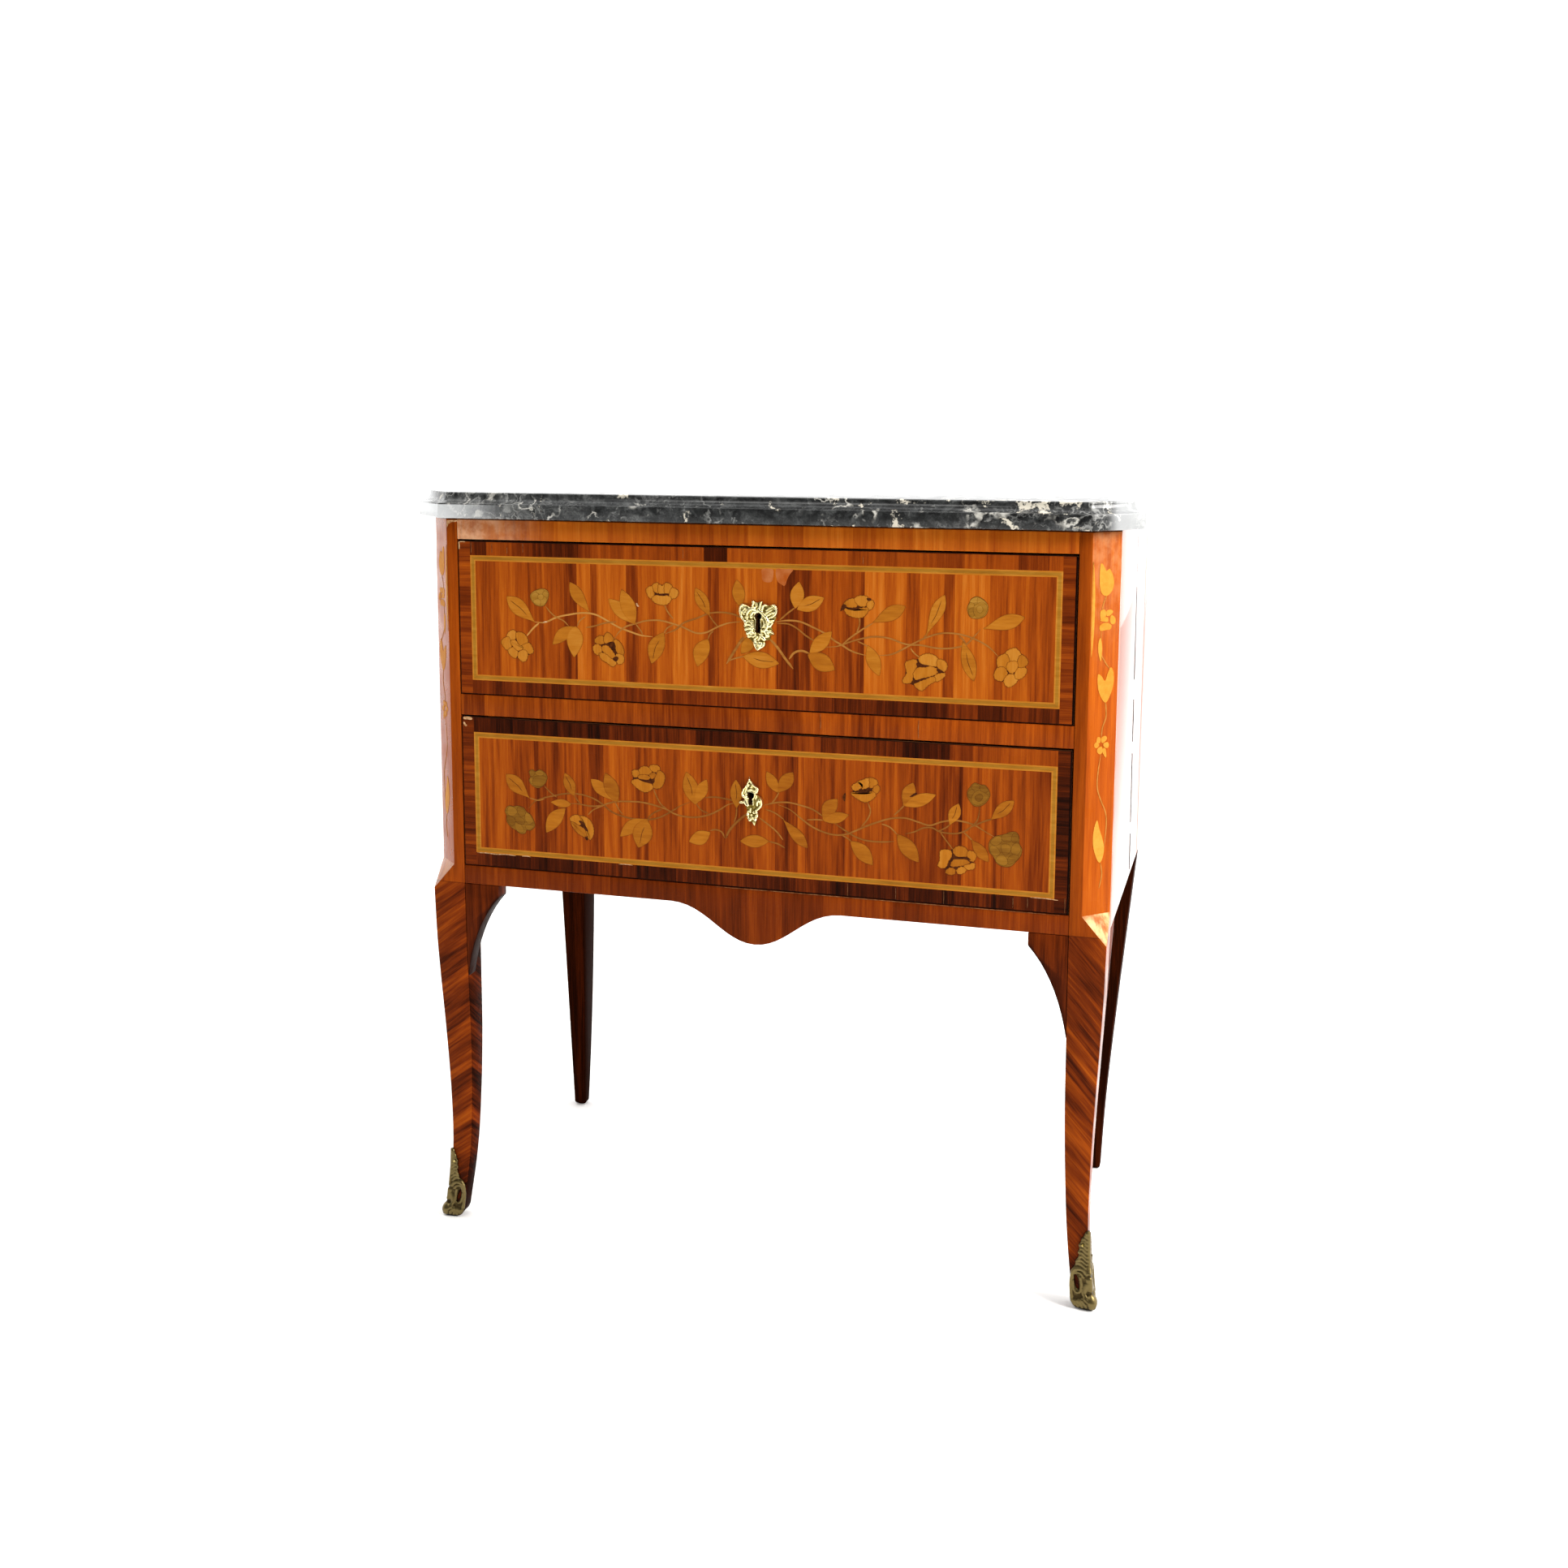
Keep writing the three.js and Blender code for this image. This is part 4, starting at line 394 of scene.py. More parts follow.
# Hairline cracks: width, lean, and the X and lowest and highest Z of each
HAIRLINES = {
    "upper": (0.36, 0.2, [
        (-323, 783, 795), (-298, 784, 794), (-280, 783, 791), (-261, 785, 795), (-76, 783, 793), (120, 782, 790),
    ]),
    "lower": (0.34, 0.25, [
        (107, 429, 443), (159, 430, 442), (210, 429, 443.6), (282, 431, 442), (297, 432, 443), (335, 430, 446),
    ]),
}
# The split in the right side: its line, as distance from the front and Z, and which steps of it are open
SPLIT = walk("232,818 4,-58 5,-70 8,-90 8,-80 5,-60 4,-48")
SPLIT_RUNS = ((0, 13), (15, 31), (34, 41), (43, 58), (61, 72))


# ---- materials

ROSEWOOD = [(0.0, "1b0702"), (0.16, "421604"), (0.32, "6b2907"), (0.5, "93410b"), (0.7, "ae5812"), (1.0, "c67a2c")]
FRUITWOOD = [(0.0, "552506"), (0.3, "894b10"), (0.6, "a9661a"), (1.0, "c08232")]
GREENWOOD = [(0.0, "3d2507"), (0.35, "6a4212"), (0.65, "8f611e"), (1.0, "b28438")]
GREEN_LINE = [(0.0, "4a2c08"), (0.35, "784a14"), (0.65, "96661f"), (1.0, "b48234")]
STEMWOOD = [(0.0, "4a230a"), (0.4, "8a5420"), (0.7, "ac7434"), (1.0, "c8924c")]
OLDOAK = [(0.0, "24130a"), (0.35, "4a2c16"), (0.65, "70482a"), (1.0, "946a40")]
GILT = [(0.0, "2c2306"), (0.3, "6b5a22"), (0.6, "b2a060"), (1.0, "eee4ae")]
# Darker brass for the sabots: partly duller metal, partly painted shade near the floor.
SHADED_DULL_BRASS = [(0.0, "181106"), (0.3, "2a200d"), (0.6, "3b2f16"), (1.0, "6a5c38")]
STONE = [(0.36, "141414"), (0.48, "232424"), (0.57, "383939"), (0.68, "565756"), (0.84, "8a8a88")]
# Veins of the marble: scale, half width, where they start to show, colour, shift of the noise, strength
STONE_VEINS = [
    (24.0, 0.026, 0.55, "cfccc3", 0.0, 0.8), (52.0, 0.05, 0.55, "a8a8a4", 3.7, 0.5),
    (130.0, 0.08, 0.57, "868684", 7.1, 0.35),
]
# Heights in metres: painted shadow under the slab, foot of the slab's moulding, start of the painted glare on the
# stops
SLAB_SHADOW = (0.8188, 0.8204)
FASCIA_TOP = (0.8372, 0.8366)
STOP_FOOT = 0.37
AXIS = {"x": 0, "y": 1, "z": 2}


def srgb(code):
    parts = [int(code[i:i + 2], 16) / 255 for i in (0, 2, 4)]
    return tuple(c / 12.92 if c <= 0.04045 else ((c + 0.055) / 1.055) ** 2.4 for c in parts) + (1.0,)


def math_node(operation):
    return lambda value, other=0.0: value.tree.math(operation, value, other)


class Value:
    """An output of a node. Arithmetic and comparisons with it add math nodes."""

    def __init__(self, tree, socket):
        self.tree = tree
        self.socket = socket

    __add__ = math_node("ADD")
    __sub__ = math_node("SUBTRACT")
    __mul__ = math_node("MULTIPLY")
    __pow__ = math_node("POWER")
    __lt__ = math_node("LESS_THAN")
    __gt__ = math_node("GREATER_THAN")
    __abs__ = math_node("ABSOLUTE")


class Tree:
    """The nodes of a material, or of another owner such as the world."""

    def __init__(self, name, owner=None):
        self.owner = owner or bpy.data.materials.new(name)
        self.owner.use_nodes = True
        self.nodes = self.owner.node_tree.nodes
        self.links = self.owner.node_tree.links
        self.nodes.clear()
        self.coords = self.out("ShaderNodeTexCoord", "Generated" if owner else "Object")
        self.x, self.y, self.z = self.split(self.coords)

    def add(self, kind, inputs=None, **settings):
        node = self.nodes.new(kind)
        for key, value in settings.items():
            setattr(node, key, value)
        for key, value in (inputs or {}).items():
            if isinstance(value, Value):
                self.links.new(value.socket, node.inputs[key])
            else:
                node.inputs[key].default_value = value
        return node

    def out(self, kind, output, inputs=None, **settings):
        return Value(self, self.add(kind, inputs, **settings).outputs[output])

    def math(self, operation, a, b):
        return self.out("ShaderNodeMath", 0, {0: a, 1: b}, operation=operation)

    def vector(self, operation, a, b):
        return self.out("ShaderNodeVectorMath", 0, {0: a, 1: b}, operation=operation)

    def split(self, vector):
        return [Value(self, socket) for socket in self.add("ShaderNodeSeparateXYZ", {0: vector}).outputs]

    def facing(self):
        return self.split(self.out("ShaderNodeNewGeometry", "Normal"))

    def attribute(self, name):
        return self.out("ShaderNodeAttribute", "Fac", attribute_name=name)

    def noise(self, vector, scale, detail=3.0, roughness=0.55, output=0):
        inputs = {"Vector": vector, "Scale": scale, "Detail": detail, "Roughness": roughness}
        return self.out("ShaderNodeTexNoise", output, inputs)

    def warped(self, scale, detail, roughness, reach, place=None):
        """The place, shifted about by up to half the reach."""
        place = place or self.coords
        drift = self.vector("ADD", self.noise(place, scale, detail, roughness, 1), (-0.5, -0.5, -0.5))
        return self.vector("ADD", place, self.vector("MULTIPLY", drift, (reach, reach, reach)))

    def band(self, value, low, high, to_low=0.0, to_high=1.0):
        inputs = {"Value": value, "From Min": low, "From Max": high, "To Min": to_low, "To Max": to_high}
        return self.out("ShaderNodeMapRange", 0, inputs, interpolation_type="SMOOTHSTEP")

    def ramp(self, value, stops):
        node = self.add("ShaderNodeValToRGB", {0: value})
        elements = node.color_ramp.elements
        while len(elements) < len(stops):
            elements.new(0.5)
        for element, (place, code) in zip(elements, stops):
            element.position = place
            element.color = srgb(code)
        return Value(self, node.outputs[0])

    def mix(self, share, a, b):
        """Colour a, or b where the share is 1. Either may be a code."""
        a, b = (srgb(c) if isinstance(c, str) else c for c in (a, b))
        return self.out("ShaderNodeMix", 2, {0: share, 6: a, 7: b}, data_type="RGBA")

    def finish(self, color, roughness, height=None, bump=0.0, **others):
        inputs = {"Base Color": color, "Roughness": roughness}
        inputs.update({key.replace("_", " "): value for key, value in others.items()})
        if height:
            inputs["Normal"] = self.out("ShaderNodeBump", 0, {"Height": height, "Distance": bump, "Strength": 1.0})
        shader = self.out("ShaderNodeBsdfPrincipled", 0, inputs)
        self.add("ShaderNodeOutputMaterial", {0: shader})
        return self.owner


def wood_figure(tree, grain, coarse=230.0, fine=1300.0, stretch=26.0, wave=0.0026, place=None):
    """Broad streaks and fine pores that run along one axis of the place, both about 0 to 1."""
    moved = tree.warped(9.0, 1.0, 0.5, wave, place)
    figure = []
    for scale, longer, detail, roughness in ((coarse, stretch, 3.0, 0.6), (fine, 2 * stretch, 2.0, 0.5)):
        scales = [scale, scale, scale]
        scales[AXIS[grain]] = scale / longer
        figure.append(tree.noise(tree.vector("MULTIPLY", moved, scales), 1.0, detail, roughness))
    return figure


def strip_tone(tree, along, width, low, high):
    """A random tone for each veneer strip of a width."""
    inputs = {"W": along * (1.0 / width), "Scale": 1.0, "Randomness": 1.0}
    cells = tree.out("ShaderNodeTexVoronoi", "Color", inputs, voronoi_dimensions="1D")
    return tree.band(tree.out("ShaderNodeSeparateColor", 0, {0: cells}), 0.0, 1.0, low, high)


def figured(figure, tone, contrast, pore_depth=0.24):
    broad, pores = figure
    return (broad - 0.5) * contrast + tone + (pores - 0.55) * pore_depth


def polish(tree, color, figure, roughness=0.3, gloss=1.09):
    broad, pores = figure
    rough = tree.band(tree.noise(tree.coords, 34.0, 4.0), 0.3, 0.75, roughness - 0.08, roughness + 0.16)
    return tree.finish(color, rough, pores * 0.3 + broad, 0.00016, IOR=gloss)


# Painted shadow: a near-black band just under the marble slab.
def painted_slab_shadow(tree, color):
    return tree.mix(tree.band(tree.z, *SLAB_SHADOW), color, "160602")


def toned_veneer(name, grain, contrast=0.74):
    """Veneer whose strips carry their own tone as a mesh attribute."""
    tree = Tree(name)
    figure = wood_figure(tree, grain, 200.0)
    return polish(tree, tree.ramp(figured(figure, tree.attribute("tone"), contrast), ROSEWOOD), figure)


def striped_veneer(name, width, low, high, contrast=0.55, left_glare=0.0):
    """Upright veneer in strips along X, where a share of painted glare, in patches, whitens its left end."""
    tree = Tree(name)
    figure = wood_figure(tree, "z")
    color = tree.ramp(figured(figure, strip_tone(tree, tree.x, width, low, high), contrast, 0.18), ROSEWOOD)
    # Painted glare, in patches, towards the left end of the rail.
    if left_glare:
        glare_patches = tree.band(tree.noise(tree.coords, 45.0, 5.0, 0.65), 0.35, 0.65, 0.2, left_glare)
        color = tree.mix(tree.band(tree.x, -0.22, -0.34) * glare_patches, color, "e2b48c")
    return polish(tree, painted_slab_shadow(tree, color), figure)


def french_polished(name, inner=0):
    """Glossy upright veneer of the sides, or of a back post, where inner is the way along X that faces inwards.

    A back post is glossy only above the leg; below it and on its rear faces it takes a darker tone, and painted shade
    darkens its inner faces most.
    """
    tree = Tree(name)
    broad, pores = figure = wood_figure(tree, "z")
    color = tree.ramp(figured(figure, strip_tone(tree, tree.y, 0.045, 0.42, 0.54), 0.5, 0.18), ROSEWOOD)
    color = painted_slab_shadow(tree, color)
    rough = tree.band(tree.noise(tree.coords, 34.0, 4.0), 0.3, 0.75, 0.04, 0.1)
    others = {"IOR": 1.45, "Coat_Weight": 0.6, "Coat_Roughness": 0.03}
    if inner:
        facing = tree.facing()
        # The leg's darker tone, with painted shade on its inner faces.
        leg_dark_and_inner_shade = tree.band(facing[0] * inner, 0.3, 0.6, 0.06 if inner > 0 else 0.02, -0.1)
        above = (tree.z > LEG_HEIGHT * MM) * (facing[1] < 0.5)
        color = tree.mix(above, tree.ramp(figured(figure, leg_dark_and_inner_shade, 0.4, 0.16), ROSEWOOD), color)
        rough = rough + tree.band(above, 0.0, 1.0, 0.3, 0.0)
        others = {"IOR": tree.band(above, 0.0, 1.0, 1.025, 1.45)}
    return tree.finish(color, rough, pores * 0.3 + broad, 0.000012, **others)


def post_veneer(name, side):
    """Upright grain on the post; on the leg below it, strips laid slantwise that wrap round to its outer face."""
    tree = Tree(name)
    right = side == "right"
    sign = 1 if right else -1
    facing = tree.facing()
    outward = facing[0] * sign
    unfolded = tree.out("ShaderNodeCombineXYZ", 0, {0: tree.x + tree.y * sign, 1: 0.0, 2: tree.z})
    turn = {"Vector": unfolded, "Rotation": (0.0, math.radians(42 if right else -54), 0.0)}
    slanted = tree.out("ShaderNodeVectorRotate", 0, turn, rotation_type="EULER_XYZ")
    figure = wood_figure(tree, "z")
    post = tree.ramp(figured(figure, tree.band(outward, 0.5, 0.6, 0.46, 0.53), 0.4), ROSEWOOD)
    # Painted shade: the leg's inward faces are darker.
    leg_tone = strip_tone(tree, tree.split(slanted)[0], 0.016, 0.27, 0.42) + tree.band(outward, -0.7, -0.3, -0.2, 0.0)
    # Painted shade: the leg darkens below 80 mm, most below 30 mm, where the sabot's openings show it.
    leg_tone = leg_tone + tree.band(tree.z, 0.03, 0.08, -0.22, 0.0)
    leg_figure = wood_figure(tree, "z", 150.0, 900.0, 14.0, 0.004, slanted)
    leg = tree.ramp(figured(leg_figure, leg_tone, 0.75), ROSEWOOD)
    color = tree.mix(tree.z < LEG_HEIGHT * MM, post, leg)
    off_joint = tree.band(abs(tree.z - LEG_HEIGHT * MM), 0.0002, 0.0007, 0.5, 1.0)
    color = tree.mix(off_joint, "240c04", color)
    # Painted glare: upward faces of the stops above STOP_FOOT go cream in patches, strongest on the right post.
    stop_glare = tree.band(facing[2], 0.12, 0.3) * (tree.z > STOP_FOOT) * tree.band(outward, 0.2, 0.4)
    patchy = tree.band(tree.noise(unfolded, 60.0, 4.0, 0.6), 0.35, 0.65, 0.1, 0.75 if right else 0.25)
    color = painted_slab_shadow(tree, tree.mix(stop_glare * patchy, color, "f0c890"))
    sheen = tree.band(outward, 0.2, 0.5, 1.09, 1.1 if right else 1.45) + tree.band(outward, -0.6, -0.3, -0.06, 0.0)
    sheen = sheen + tree.band(outward, 0.85, 0.97, 0.0, 0.4 if right else 0.1)
    return polish(tree, color, figure, gloss=sheen)


def knee_wood(name):
    """Dark blotchy wood of the knee blocks, with painted shade on the faces that point downwards."""
    tree = Tree(name)
    figure = wood_figure(tree, "z", 160.0, 1000.0, 20.0)
    # Painted shade: darker where the faces point downwards.
    tone = tree.band(tree.facing()[2], -0.02, -0.2, 0.0, -0.24) + 0.22
    value = figured(figure, tone, 0.4, 0.16) + (tree.noise(tree.coords, 16.0) - 0.5) * 0.22
    return polish(tree, tree.ramp(value, ROSEWOOD), figure, 0.42)


def inlay_wood(name, stops, base=0.0, grain="x"):
    """Pale inlay, darker towards its edges as if scorched in hot sand."""
    tree = Tree(name)
    figure = wood_figure(tree, grain, 220.0, 1400.0, 7.0)
    value = figured(figure, tree.attribute("tone") + base, 0.5, 0.22) - tree.attribute("edge") ** 2.2 * 0.2
    return polish(tree, tree.ramp(value, stops), figure, 0.32)


def bare_oak(name, grain, tone):
    tree = Tree(name)
    broad, pores = figure = wood_figure(tree, grain, 90.0)
    stain = tree.noise(tree.coords, 11.0, 4.0)
    color = tree.ramp(figured(figure, tone, 0.75, 0.35) + (stain - 0.5) * 0.3, OLDOAK)
    rough = tree.band(stain, 0.3, 0.7, 0.5, 0.7)
    return tree.finish(color, rough, pores * 0.5 + broad, 0.0003, Coat_Weight=0.12, Coat_Roughness=0.3, IOR=1.2)


def marble_stone(name):
    """Charcoal stone with grey mottling, broken pale veins and cream patches, most of them right of the middle."""
    tree = Tree(name)
    x, place = tree.x, tree.warped(22.0, 5.0, 0.65, 0.05)
    busy = tree.band(x, -0.02, 0.12, 0.0, 0.03) + tree.band(x, -0.16, -0.3, 0.0, 0.11)
    color = tree.ramp(tree.noise(place, 70.0, 8.0, 0.72) + tree.band(x, -0.3, 0.1, 0.08, -0.02), STONE)
    fossils = tree.out("ShaderNodeTexVoronoi", "Distance", {"Vector": place, "Scale": 130.0, "Randomness": 1.0})
    spots = tree.band(fossils, 0.34, 0.16) * tree.band(tree.noise(tree.coords, 33.0, 2.0), 0.5, 0.62)
    color = tree.mix(spots * 0.45, color, "8b8b88")
    for scale, half, low, code, shift, strength in STONE_VEINS:
        moved = tree.vector("ADD", tree.vector("MULTIPLY", place, (1.0, 1.0, 1.25)), (shift, shift, shift))
        ridge = abs(tree.noise(moved, scale, 1.0, 0.5) - 0.5)
        patch = tree.noise(tree.vector("ADD", tree.coords, (shift, 0.0, 0.0)), 23.0) + busy
        color = tree.mix(tree.band(ridge, half, 0.0) * tree.band(patch, low, low + 0.1) * strength, color, code)
    splash = tree.noise(tree.vector("MULTIPLY", place, (1.0, 1.0, 1.5)), 34.0, 5.0, 0.62)
    splash = splash + tree.band(x, 0.0, 0.14, 0.0, 0.055)
    color = tree.mix(tree.band(splash, 0.635, 0.675) * 0.9, color, "cdc6b6")
    # Painted glare: the fascia's left end and both canted corners are whitened.
    ends = tree.band(x, -0.26, -0.37, 0.0, 0.85) * tree.band(tree.z, *FASCIA_TOP)
    for start, end, share in ((-0.365, -0.395, 0.5), (0.365, 0.378, 0.38)):
        ends = tree.math("MAXIMUM", ends, tree.band(x, start, end, 0.0, share))
    color = tree.mix(ends, color, "dcdedf")
    rough = tree.band(tree.noise(tree.coords, 60.0), 0.3, 0.7, 0.14, 0.28)
    return tree.finish(color, rough, tree.noise(tree.coords, 240.0), 0.00005, IOR=1.36)


def aged_brass(name, stops, relief=True, metallic=1.0, roughness=0.26):
    """Brass, bright and smooth where it is proud and brown in its hollows."""
    tree = Tree(name)
    tarnish = tree.noise(tree.coords, 260.0, 4.0)
    worn = tree.band(tree.attribute("relief") + tarnish * 0.5, 0.1, 0.95) if relief else tree.band(tarnish, 0.3, 0.7)
    rough = tree.band(worn, 0.0, 1.0, roughness + 0.2, roughness)
    return tree.finish(tree.ramp(worn, stops), rough, tree.noise(tree.coords, 700.0), 0.0001, Metallic=metallic)


def steel(name, dark, bright, roughness):
    tree = Tree(name)
    value = tree.noise(tree.vector("MULTIPLY", tree.coords, (90.0, 90.0, 900.0)), 1.0)
    rough = tree.band(tree.noise(tree.coords, 300.0), 0.3, 0.7, roughness, roughness + 0.18)
    return tree.finish(tree.ramp(value, [(0.3, dark), (0.7, bright)]), rough, value, 0.00008, Metallic=1.0)


def plain_surface(name, dark, bright, scale, roughness, low=0.3):
    tree = Tree(name)
    value = tree.noise(tree.coords, scale, 4.0)
    color = tree.ramp(value, [(low, dark), (1 - low, bright)])
    return tree.finish(color, roughness, value, 0.0001, IOR=1.1)


def floor_surface(name):
    tree = Tree(name)
    return tree.finish(tree.ramp(tree.noise(tree.coords, 3.0), [(0.3, "f2f2f1"), (0.7, "f6f6f5")]), 0.8)


material = {
    "marble": marble_stone("marble_dark_veined"),
    "field": toned_veneer("field_veneer_upright", "z"),
    "border_upright": toned_veneer("border_veneer_upright", "z", 0.5),
    "border_level": toned_veneer("border_veneer_level", "x", 0.55),
    "top_rail": striped_veneer("top_rail_veneer", 0.028, 0.52, 0.7, left_glare=0.7),
    "divider": striped_veneer("divider_veneer", 0.028, 0.36, 0.5),
    "apron": striped_veneer("apron_veneer", 0.04, 0.27, 0.38, contrast=0.32),
    "left_post": post_veneer("left_post_veneer", "left"),
    "right_post": post_veneer("right_post_veneer", "right"),
    "knee": knee_wood("knee_wood"),
    "side": french_polished("side_veneer"),
    "left_rear_leg": french_polished("left_rear_post_veneer", 1),
    "right_rear_leg": french_polished("right_rear_post_veneer", -1),
    "light_line": inlay_wood("light_stringing", FRUITWOOD, 0.26),
    "green_line": inlay_wood("green_stringing", GREEN_LINE, 0.2),
    "leaf": inlay_wood("leaf_inlay", FRUITWOOD),
    "petal": inlay_wood("petal_inlay", FRUITWOOD, grain="z"),
    "green": inlay_wood("green_inlay", GREENWOOD),
    "stem": inlay_wood("stem_inlay", STEMWOOD),
    "saw_cut": plain_surface("saw_cut_filler", "2e1206", "54290e", 400.0, 0.5),
    # Near black: painted shadow in the gaps round the drawers, and the dark of the open split in the right side.
    "shadow_gap": plain_surface("painted_gap_shadow_and_dark_split", "0c0402", "1c0a04", 400.0, 0.6),
    "worn": plain_surface("chipped_edge", "8c5c30", "cfa67c", 300.0, 0.7),
    # Also the lighter line along the apron's top arris, a painted highlight.
    "hairline": plain_surface("open_hairline_and_arris_highlight", "4c260f", "9a6a44", 220.0, 0.6),
    "patch": plain_surface("old_filler", "9c4a16", "ae683a", 60.0, 0.4, 0.35),
    "oak": bare_oak("bare_oak", "x", 0.62),
    "oak_deep": bare_oak("bare_oak_deep", "y", 0.6),
    "oak_upright": bare_oak("bare_oak_upright", "z", 0.55),
    "brass": aged_brass("gilt_brass_cast", GILT),
    # A darker copy of the gilt brass for the sabots: partly duller metal, partly painted shade near the floor.
    "dull_shaded_brass": aged_brass("dull_brass_cast", SHADED_DULL_BRASS, metallic=0.9, roughness=0.36),
    "brass_plain": aged_brass("gilt_brass_plain", GILT, relief=False),
    "iron": steel("lock_iron", "241f1c", "4a4440", 0.5),
    "steel": steel("bolt_steel", "6a6a68", "a2a09c", 0.28),
}


# ---- geometry helpers

def linked(name, data):
    thing = bpy.data.objects.new(name, data)
    bpy.context.scene.collection.objects.link(thing)
    return thing


def smooth_shaded(mesh, angle):
    mesh.polygons.foreach_set("use_smooth", [True] * len(mesh.polygons))
    mesh.set_sharp_from_angle(angle=math.radians(angle))


def new_piece(name, body, slot, finish, verts, faces, values, smooth=None):
    """A visible piece on a body, with values per vertex for its material and its faces turned outwards."""
    mesh = bpy.data.meshes.new(name)
    mesh.from_pydata([tuple(v) for v in verts], [], faces)
    mesh.update()
    mesh.materials.append(material[finish])
    if smooth:
        smooth_shaded(mesh, smooth)
    for key, row in values.items():
        mesh.attributes.new(key, "FLOAT", "POINT").data.foreach_set("value", row)
    work = bmesh.new()
    work.from_mesh(mesh)
    bmesh.ops.recalc_face_normals(work, faces=work.faces)
    bmesh.ops.delete(work, geom=[v for v in work.verts if not v.link_faces], context="VERTS")
    work.to_mesh(mesh)
    work.free()
    piece = linked(name, mesh)
    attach(piece, body)
    return piece


def softened(node, finish, width):
    """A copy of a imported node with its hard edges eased."""
    mesh = frame["nodes"][node].data.copy()
    mesh.materials.clear()
    work = bmesh.new()
    work.from_mesh(mesh)
    bmesh.ops.remove_doubles(work, verts=work.verts, dist=1e-6)
    bmesh.ops.dissolve_limit(work, angle_limit=math.radians(0.3), verts=work.verts, edges=work.edges)
    hard = [e for e in work.edges if len(e.link_faces) == 2 and e.calc_face_angle(0) > math.radians(30)]
    bmesh.ops.bevel(work, geom=hard, offset=width * MM, segments=2, profile=0.5, affect="EDGES", clamp_overlap=True)
    work.to_mesh(mesh)
    work.free()
    mesh.materials.append(material[finish])
    smooth_shaded(mesh, 38)
    piece = linked(f"{node}_dressed", mesh)
    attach(piece, frame["nodes"][node]["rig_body"])
    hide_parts(node)


def smooth_path(points, steps, closed=False):
    """Points on a Catmull-Rom curve through the given ones."""
    pts = [Vector(p) for p in points]
    if closed:
        row = pts[-1:] + pts + pts[:2]
    else:
        row = [pts[0] * 2 - pts[1]] + pts + [pts[-1] * 2 - pts[-2]]
    out = []
    for p0, p1, p2, p3 in zip(row, row[1:], row[2:], row[3:]):
        for k in range(steps):
            t = k / steps
            point = 2 * p1 + (p2 - p0) * t + (2 * p0 - 5 * p1 + 4 * p2 - p3) * t * t
            out.append(0.5 * (point + (3 * p1 - p0 - 3 * p2 + p3) * t ** 3))
    return out if closed else out + pts[-1:]


def blob(points, steps=3):
    return smooth_path(points, steps, closed=True)


def turned_left(outline):
    """The outline, anticlockwise."""
    area = sum(a.x * b.y - b.x * a.y for a, b in zip(outline, outline[1:] + outline[:1]))
    return outline if area > 0 else outline[::-1]


def grown(outline, reach):
    """An outline moved outwards by a reach, or inwards by a negative one. The reach may be a function of the index."""
    ring = turned_left(outline)
    out = []
    for i, point in enumerate(ring):
        along = (ring[(i + 1) % len(ring)] - ring[i - 1]).normalized()
        out.append(point + Vector((along.y, -along.x)) * (reach(i) if callable(reach) else reach))
    return out


def resampled(outline, step):
    out = []
    for a, b in zip(outline, outline[1:] + outline[:1]):
        count = max(1, round((b - a).length / step))
        out += [a.lerp(b, i / count) for i in range(count)]
    return out


def corners(x0, x1, z0, z1):
    return [Vector(c) for c in ((x0, z0), (x1, z0), (x1, z1), (x0, z1))]


class Inlay:
    """Thin flat pieces let into one face, gathered into a single mesh with a tone and an edge value per vertex."""

    def __init__(self, place, layer):
        self.place = place
        self.top = LAYER[layer]
        self.verts, self.faces, self.tone, self.edge = [], [], [], []

    def vert(self, point, tone, edge, out=None):
        self.verts.append(self.place(point.x * MM, point.y * MM, self.top if out is None else out))
        self.tone.append(tone)
        self.edge.append(edge)
        return len(self.verts) - 1

    def plate(self, outline, tone, inner=None, step=LAYER_STEP, shade=1.0):
        """A closed outline, with an inner ring where the scorched edge ends. Each lies a hair above the one before."""
        self.top += step
        ring = turned_left(outline)
        inner = turned_left(inner) if inner else grown(ring, -0.9)
        foot = [self.vert(p, tone, shade, LAYER_FOOT) for p in ring]
        rim = [self.vert(p, tone, shade) for p in ring]
        core = [self.vert(p, tone, 0.0) for p in inner]
        for i in range(len(ring)):
            j = (i + 1) % len(ring)
            self.faces += [(foot[i], foot[j], rim[j], rim[i]), (rim[i], rim[j], core[j], core[i])]
        self.faces.append(tuple(core))

    def ribbon(self, points, width, tone, taper=0.25):
        """A line with tapered ends."""
        self.top += LAYER_STEP
        path = smooth_path(points, 5)
        last = len(path) - 1
        rows = []
        for i, point in enumerate(path):
            along = (path[min(i + 1, last)] - path[max(i - 1, 0)]).normalized()
            share = i / last
            half = width / 2 * min(1.0, taper + (1 - taper) * min(share, 1 - share) * 8)
            side = Vector((-along.y, along.x)) * half
            crest = tone * (1.0 + 0.012 * math.sin(i * 0.9 + tone * 40))
            rows.append([
                self.vert(point - side, tone, 1.0, LAYER_FOOT), self.vert(point - side, tone, 0.9),
                self.vert(point, crest, 0.0), self.vert(point + side, tone, 0.9),
                self.vert(point + side, tone, 1.0, LAYER_FOOT),
            ])
        for a, b in zip(rows, rows[1:]):
            self.faces += [(a[k], b[k], b[k + 1], a[k + 1]) for k in range(4)]
        self.faces += [tuple(rows[0]), tuple(rows[-1][::-1])]

    def done(self, name, body, slot, finish):
        values = {"tone": self.tone, "edge": self.edge}
        new_piece(name, body, slot, finish, self.verts, self.faces, values)


def front_place(x, z, out):
    return Vector((x, FRONT_Y - out, z))


